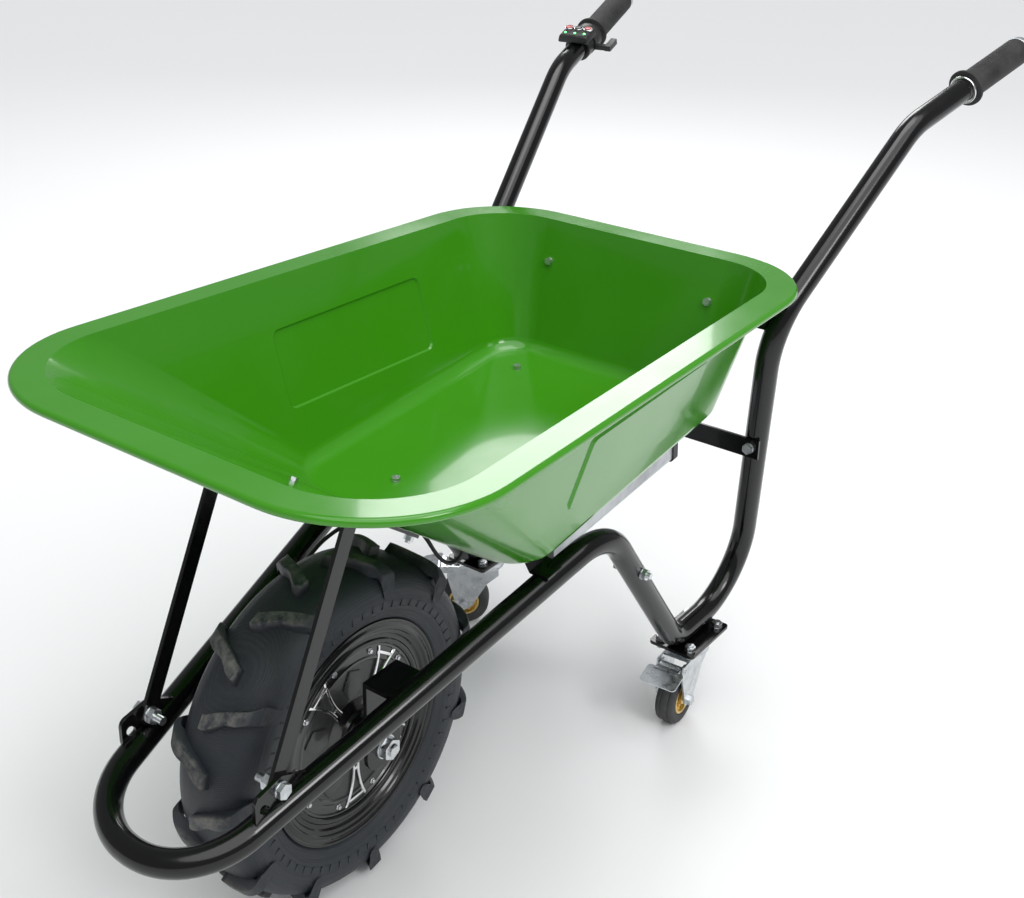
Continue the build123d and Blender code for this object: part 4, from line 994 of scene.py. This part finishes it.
@dataclass
class Handles:
    """Chequered grips with their chromed rings and metal ends."""

    start: float = 0.006
    end: float = 0.138
    radius: float = 0.0193
    rows: int = 24

    def grip(self) -> Piece:
        """Turns one grip and raises its small square pads."""
        flange = [(0.0162, 0.0), (0.0250, 0.0), (0.0259, 0.0010), (0.0259, 0.0038), (0.0250, 0.0050)]
        outline = [(radius, self.start + along) for radius, along in flange]
        first, last = self.start + 0.0058, self.end - 0.0030
        pitch = (last - first) / self.rows
        outline += [(self.radius, first + pitch * row) for row in range(self.rows + 1)]
        outline += [(self.radius, self.end - 0.0004), (0.0162, self.end - 0.0004), outline[0]]
        grip = Bench.lathe("grip", outline, 36)
        Bench.faces(grip, lambda face: self.is_pad(face, first, last))
        bpy.ops.mesh.inset(thickness=0.0006, depth=0.0007, use_individual=True)
        Bench.close()
        return Bench.soften(grip, 0.0002, 1, 30)

    def is_pad(self, face: bmesh.types.BMFace, first: float, last: float) -> bool:
        """Returns whether a face lies on the chequered part."""
        centre = face.calc_center_median()
        outer = abs(face.normal.z) < 0.2 and centre.xy.length > self.radius * 0.97
        return outer and first < centre.z < last

    def build(self) -> None:
        """Builds both handles' ends."""
        ring = [(0.0162, 0.0002), (0.0196, 0.0002), (0.0200, 0.0010)]
        ring += [(0.0200, 0.0050), (0.0196, 0.0058), (0.0162, 0.0058)]
        end = [(0.0005, 0.0), (0.0194, 0.0), (0.0200, 0.0006), (0.0200, 0.0062), (0.0188, 0.0096)]
        end += [(0.0160, 0.0116), (0.0120, 0.0119), (0.0110, 0.0112), (0.0005, 0.0110)]
        place = on_joint("throttle_press", -1.0)
        chrome = Bench.lathe("grip_ring", ring + [ring[0]], 64)
        tip = Bench.lathe("grip_tip", [(radius, self.end + along) for radius, along in end + [end[0]]], 64)
        for piece, finish, node in (
            (self.grip(), Finish.RUBBER, "grip_"),
            (Bench.soften(chrome, 0.0002), Finish.CHROME, "grip_rings"),
            (Bench.soften(tip, 0.0004), Finish.ALUMINIUM, "grip_ends"),
        ):
            right = Bench.lay(piece, place)
            left = Bench.mirror(right, piece.name + "_left")
            for side, name in ((right, "right"), (left, "left")):
                dress(side, finish)
                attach(side, "frame")
                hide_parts(node + name if node.endswith("_") else node)


@dataclass
class ControlBox:
    """Control box on its clamp, with ringed buttons and small lamps."""

    pitch: float = 0.016
    keys: float = -0.0406
    lamps: float = -0.0566
    names: tuple[str, ...] = ("speed", "reverse", "power")

    def slab(self, name: str, at: Point, size: Point) -> Piece:
        """Shapes one block."""
        piece = Bench.start(name, bpy.ops.mesh.primitive_cube_add, size=1.0, location=at)
        piece.scale = size
        Bench.take(piece)
        bpy.ops.object.transform_apply(location=True, rotation=False, scale=True)
        return piece

    def upright(self, name: str, profile: Profile, x: float, z: float, steps: int = 40) -> Piece:
        """Turns a piece about the box's upward direction.

        Args:
            name: Name of the piece.
            profile: Its outline as radius and height.
            x: Its place across the handle.
            z: Its place along the handle.
            steps: Faces around it.

        Returns:
            The turned piece.
        """
        piece = Bench.lathe(name, list(profile) + [profile[0]], steps)
        return Bench.lay(piece, Matrix.Translation((x, 0, z)) @ Matrix.Rotation(-math.pi / 2, 4, "X"))

    def build(self) -> None:
        """Builds the box and its keys and lamps."""
        place = on_joint("throttle_press", -1.0)
        case = self.slab("control_case", (0, 0.0230, -0.0486), (0.052, 0.0120, 0.040))
        Bench.faces(case, lambda face: face.normal.y > 0.9)
        bpy.ops.transform.resize(value=(0.90, 1.0, 0.88), center_override=(0, 0.029, -0.0486))
        Bench.close()
        Bench.soften(case, 0.0032, 4, 30)
        neck = Bench.soften(self.slab("neck", (0, 0.0175, -0.0426), (0.034, 0.011, 0.024)), 0.0015, 2)
        clamp = [(0.0162, -0.0506), (0.0204, -0.0506), (0.0210, -0.0500)]
        clamp += [(0.0210, -0.0312), (0.0204, -0.0306), (0.0162, -0.0306)]
        band = Bench.lathe("clamp_band", clamp + [clamp[0]], 64)
        case = Bench.join("control_case", [case, neck, band])
        dress(Bench.lay(case, place), Finish.BLACK_PLASTIC)
        plate = self.slab("control_plate", (0, 0.0291, -0.0486), (0.043, 0.0008, 0.030))
        Bench.soften(plate, 0.0003, 1)
        dress(Bench.lay(plate, place), Finish.RUBBER)
        for piece in (case, plate):
            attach(piece, "frame")
            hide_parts("panel_housing")
        self.keys_and_lamps(place)

    def keys_and_lamps(self, place: Matrix) -> None:
        """Sets the keys, their rings and the lamps on the plate.

        Args:
            place: Place of the control box.
        """
        ring = [(0.0058, 0.0294), (0.0072, 0.0294), (0.0072, 0.0314)]
        ring += [(0.0067, 0.0319), (0.0060, 0.0317), (0.0058, 0.0310)]
        cap = [(0.0003, 0.0309), (0.0052, 0.0309), (0.0053, 0.0322)]
        cap += [(0.0047, 0.0328), (0.0028, 0.0325), (0.0003, 0.0324)]
        lens = [(0.0003, 0.0294), (0.0020, 0.0294), (0.0019, 0.0302), (0.0012, 0.0308), (0.0003, 0.0310)]
        for index, name in enumerate(self.names):
            x = self.pitch * (index - 1)
            key = Bench.lay(self.upright("key_" + name, cap, x, self.keys), place)
            dress(key, Finish.BLACK_PLASTIC if name == "reverse" else Finish.RED_PLASTIC)
            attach(key, "key_" + name)
            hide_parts("button_" + name)
            rim = Bench.lay(self.upright("key_ring_" + name, ring, x, self.keys), place)
            dress(rim, Finish.CHROME)
            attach(rim, "frame")
            lamp = Bench.lay(self.upright("lamp_" + name, lens, x, self.lamps, 24), place)
            dress(lamp, Finish.LAMP_GREEN)
            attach(lamp, "frame")
            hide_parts("panel_lamps")


@dataclass
class CasterWheels:
    """Grooved treads and ribbed hubs of both casters."""

    ribs: int = 6

    def tread(self) -> Piece:
        """Turns the rubber tread with its two grooves."""
        half = [(0.0241, 0.0122), (0.0252, 0.0134), (0.0300, 0.0139), (0.0352, 0.0137), (0.0379, 0.0118)]
        half += [(0.0387, 0.0088), (0.0388, 0.0070), (0.0377, 0.0064), (0.0377, 0.0052), (0.0389, 0.0046)]
        other = [(radius, -height) for radius, height in reversed(half)]
        return Bench.soften(Bench.lathe("caster_tread", half + other + [half[0]], 96), 0.0004, 2, 25)

    def hub(self) -> Piece:
        """Turns the hub and sets ribs between its boss and its rim."""
        half = [(0.0043, 0.0142), (0.0086, 0.0142), (0.0092, 0.0136), (0.0092, 0.0078), (0.0100, 0.0070)]
        half += [(0.0186, 0.0070), (0.0196, 0.0080), (0.0200, 0.0124)]
        half += [(0.0210, 0.0131), (0.0234, 0.0131), (0.0240, 0.0121)]
        other = [(radius, -height) for radius, height in reversed(half)]
        pieces = [Bench.lathe("caster_hub", half + other + [half[0]], 96)]
        for index in range(self.ribs):
            rib = Bench.start("hub_rib", bpy.ops.mesh.primitive_cube_add, size=1.0, location=(0.0146, 0, 0))
            rib.scale = (0.0112, 0.0018, 0.0220)
            Bench.take(rib)
            bpy.ops.object.transform_apply(location=True, rotation=False, scale=True)
            pieces.append(Bench.lay(rib, Matrix.Rotation(math.tau * index / self.ribs, 4, "Z")))
        return Bench.soften(Bench.join("caster_hub", pieces), 0.0004, 2, 25)

    def build(self) -> None:
        """Builds both casters' wheels."""
        for side in ("left", "right"):
            place = on_joint("roll_" + side)
            for piece, finish, node in (
                (self.tread(), Finish.CASTER_RUBBER, "caster_tyre_"),
                (self.hub(), Finish.GOLD_HUB, "caster_hub_"),
            ):
                piece.name = piece.name + "_" + side
                dress(Bench.lay(piece, place), finish)
                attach(piece, "caster_wheel_" + side)
                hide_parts(node + side)


# ---- frame nodes ----


class CarriedNodes:
    """Dresses the frame's own nodes and rounds their sharp edges."""

    rounded: dict[str, float] = {
        "front_brackets": 0.0006,
        "axle_hangers": 0.0006,
        "back_brackets": 0.0006,
        "foot_plates": 0.0006,
        "rear_strap": 0.0006,
        "front_crossbar": 0.0006,
        "brace_left": 0.0007,
        "brace_right": 0.0007,
        "brace_bolts": 0.0006,
        "tray_bolts": 0.0004,
        "strap_bolts": 0.0005,
        "splice_bolts": 0.0005,
        "caster_bolts": 0.0005,
        "axle_nuts": 0.0008,
        "axle_washers": 0.0004,
        "axle": 0.0005,
        "throttle_lever": 0.0012,
        "throttle_body": 0.0010,
        "fork_left": 0.0006,
        "fork_right": 0.0006,
        "caster_top_left": 0.0007,
        "caster_top_right": 0.0007,
        "pedal_left": 0.0008,
        "pedal_right": 0.0008,
        "caster_axle_left": 0.0005,
        "caster_axle_right": 0.0005,
        "battery_caps": 0.0030,
        "cap_latch": 0.0010,
    }

    def build(self) -> None:
        """Gives every node its finish."""
        slots = {part["node"]: part["material_slot"] for part in frame["record"]["subparts"]}
        for name, node in frame["nodes"].items():
            material = Finish[slots[name].upper()].material()
            if not node.material_slots:
                node.data.materials.append(material)
            for slot in node.material_slots:
                slot.material = material
            width = self.rounded.get(name)
            if width:
                weld = node.modifiers.new("Weld", "WELD")
                weld.merge_threshold = MM / 100
                bevel = node.modifiers.new("Bevel", "BEVEL")
                bevel.width = width
                bevel.segments = 2
                bevel.limit_method = "ANGLE"
                bevel.angle_limit = math.radians(35)


def main() -> None:
    """Builds everything in order."""
    logging.basicConfig(level=logging.INFO, format="%(name)s: %(message)s")
    Stage().build()
    LOG.info("stage ready")
    MotorCable().build()
    LOG.info("cable laid")
    DriveTyre().build()
    HubMotor().build()
    LOG.info("drive wheel built")
    Handles().build()
    ControlBox().build()
    CasterWheels().build()
    LOG.info("handles and caster wheels built")
    CarriedNodes().build()
    LOG.info("frame nodes dressed")


if __name__ == "__main__":
    main()
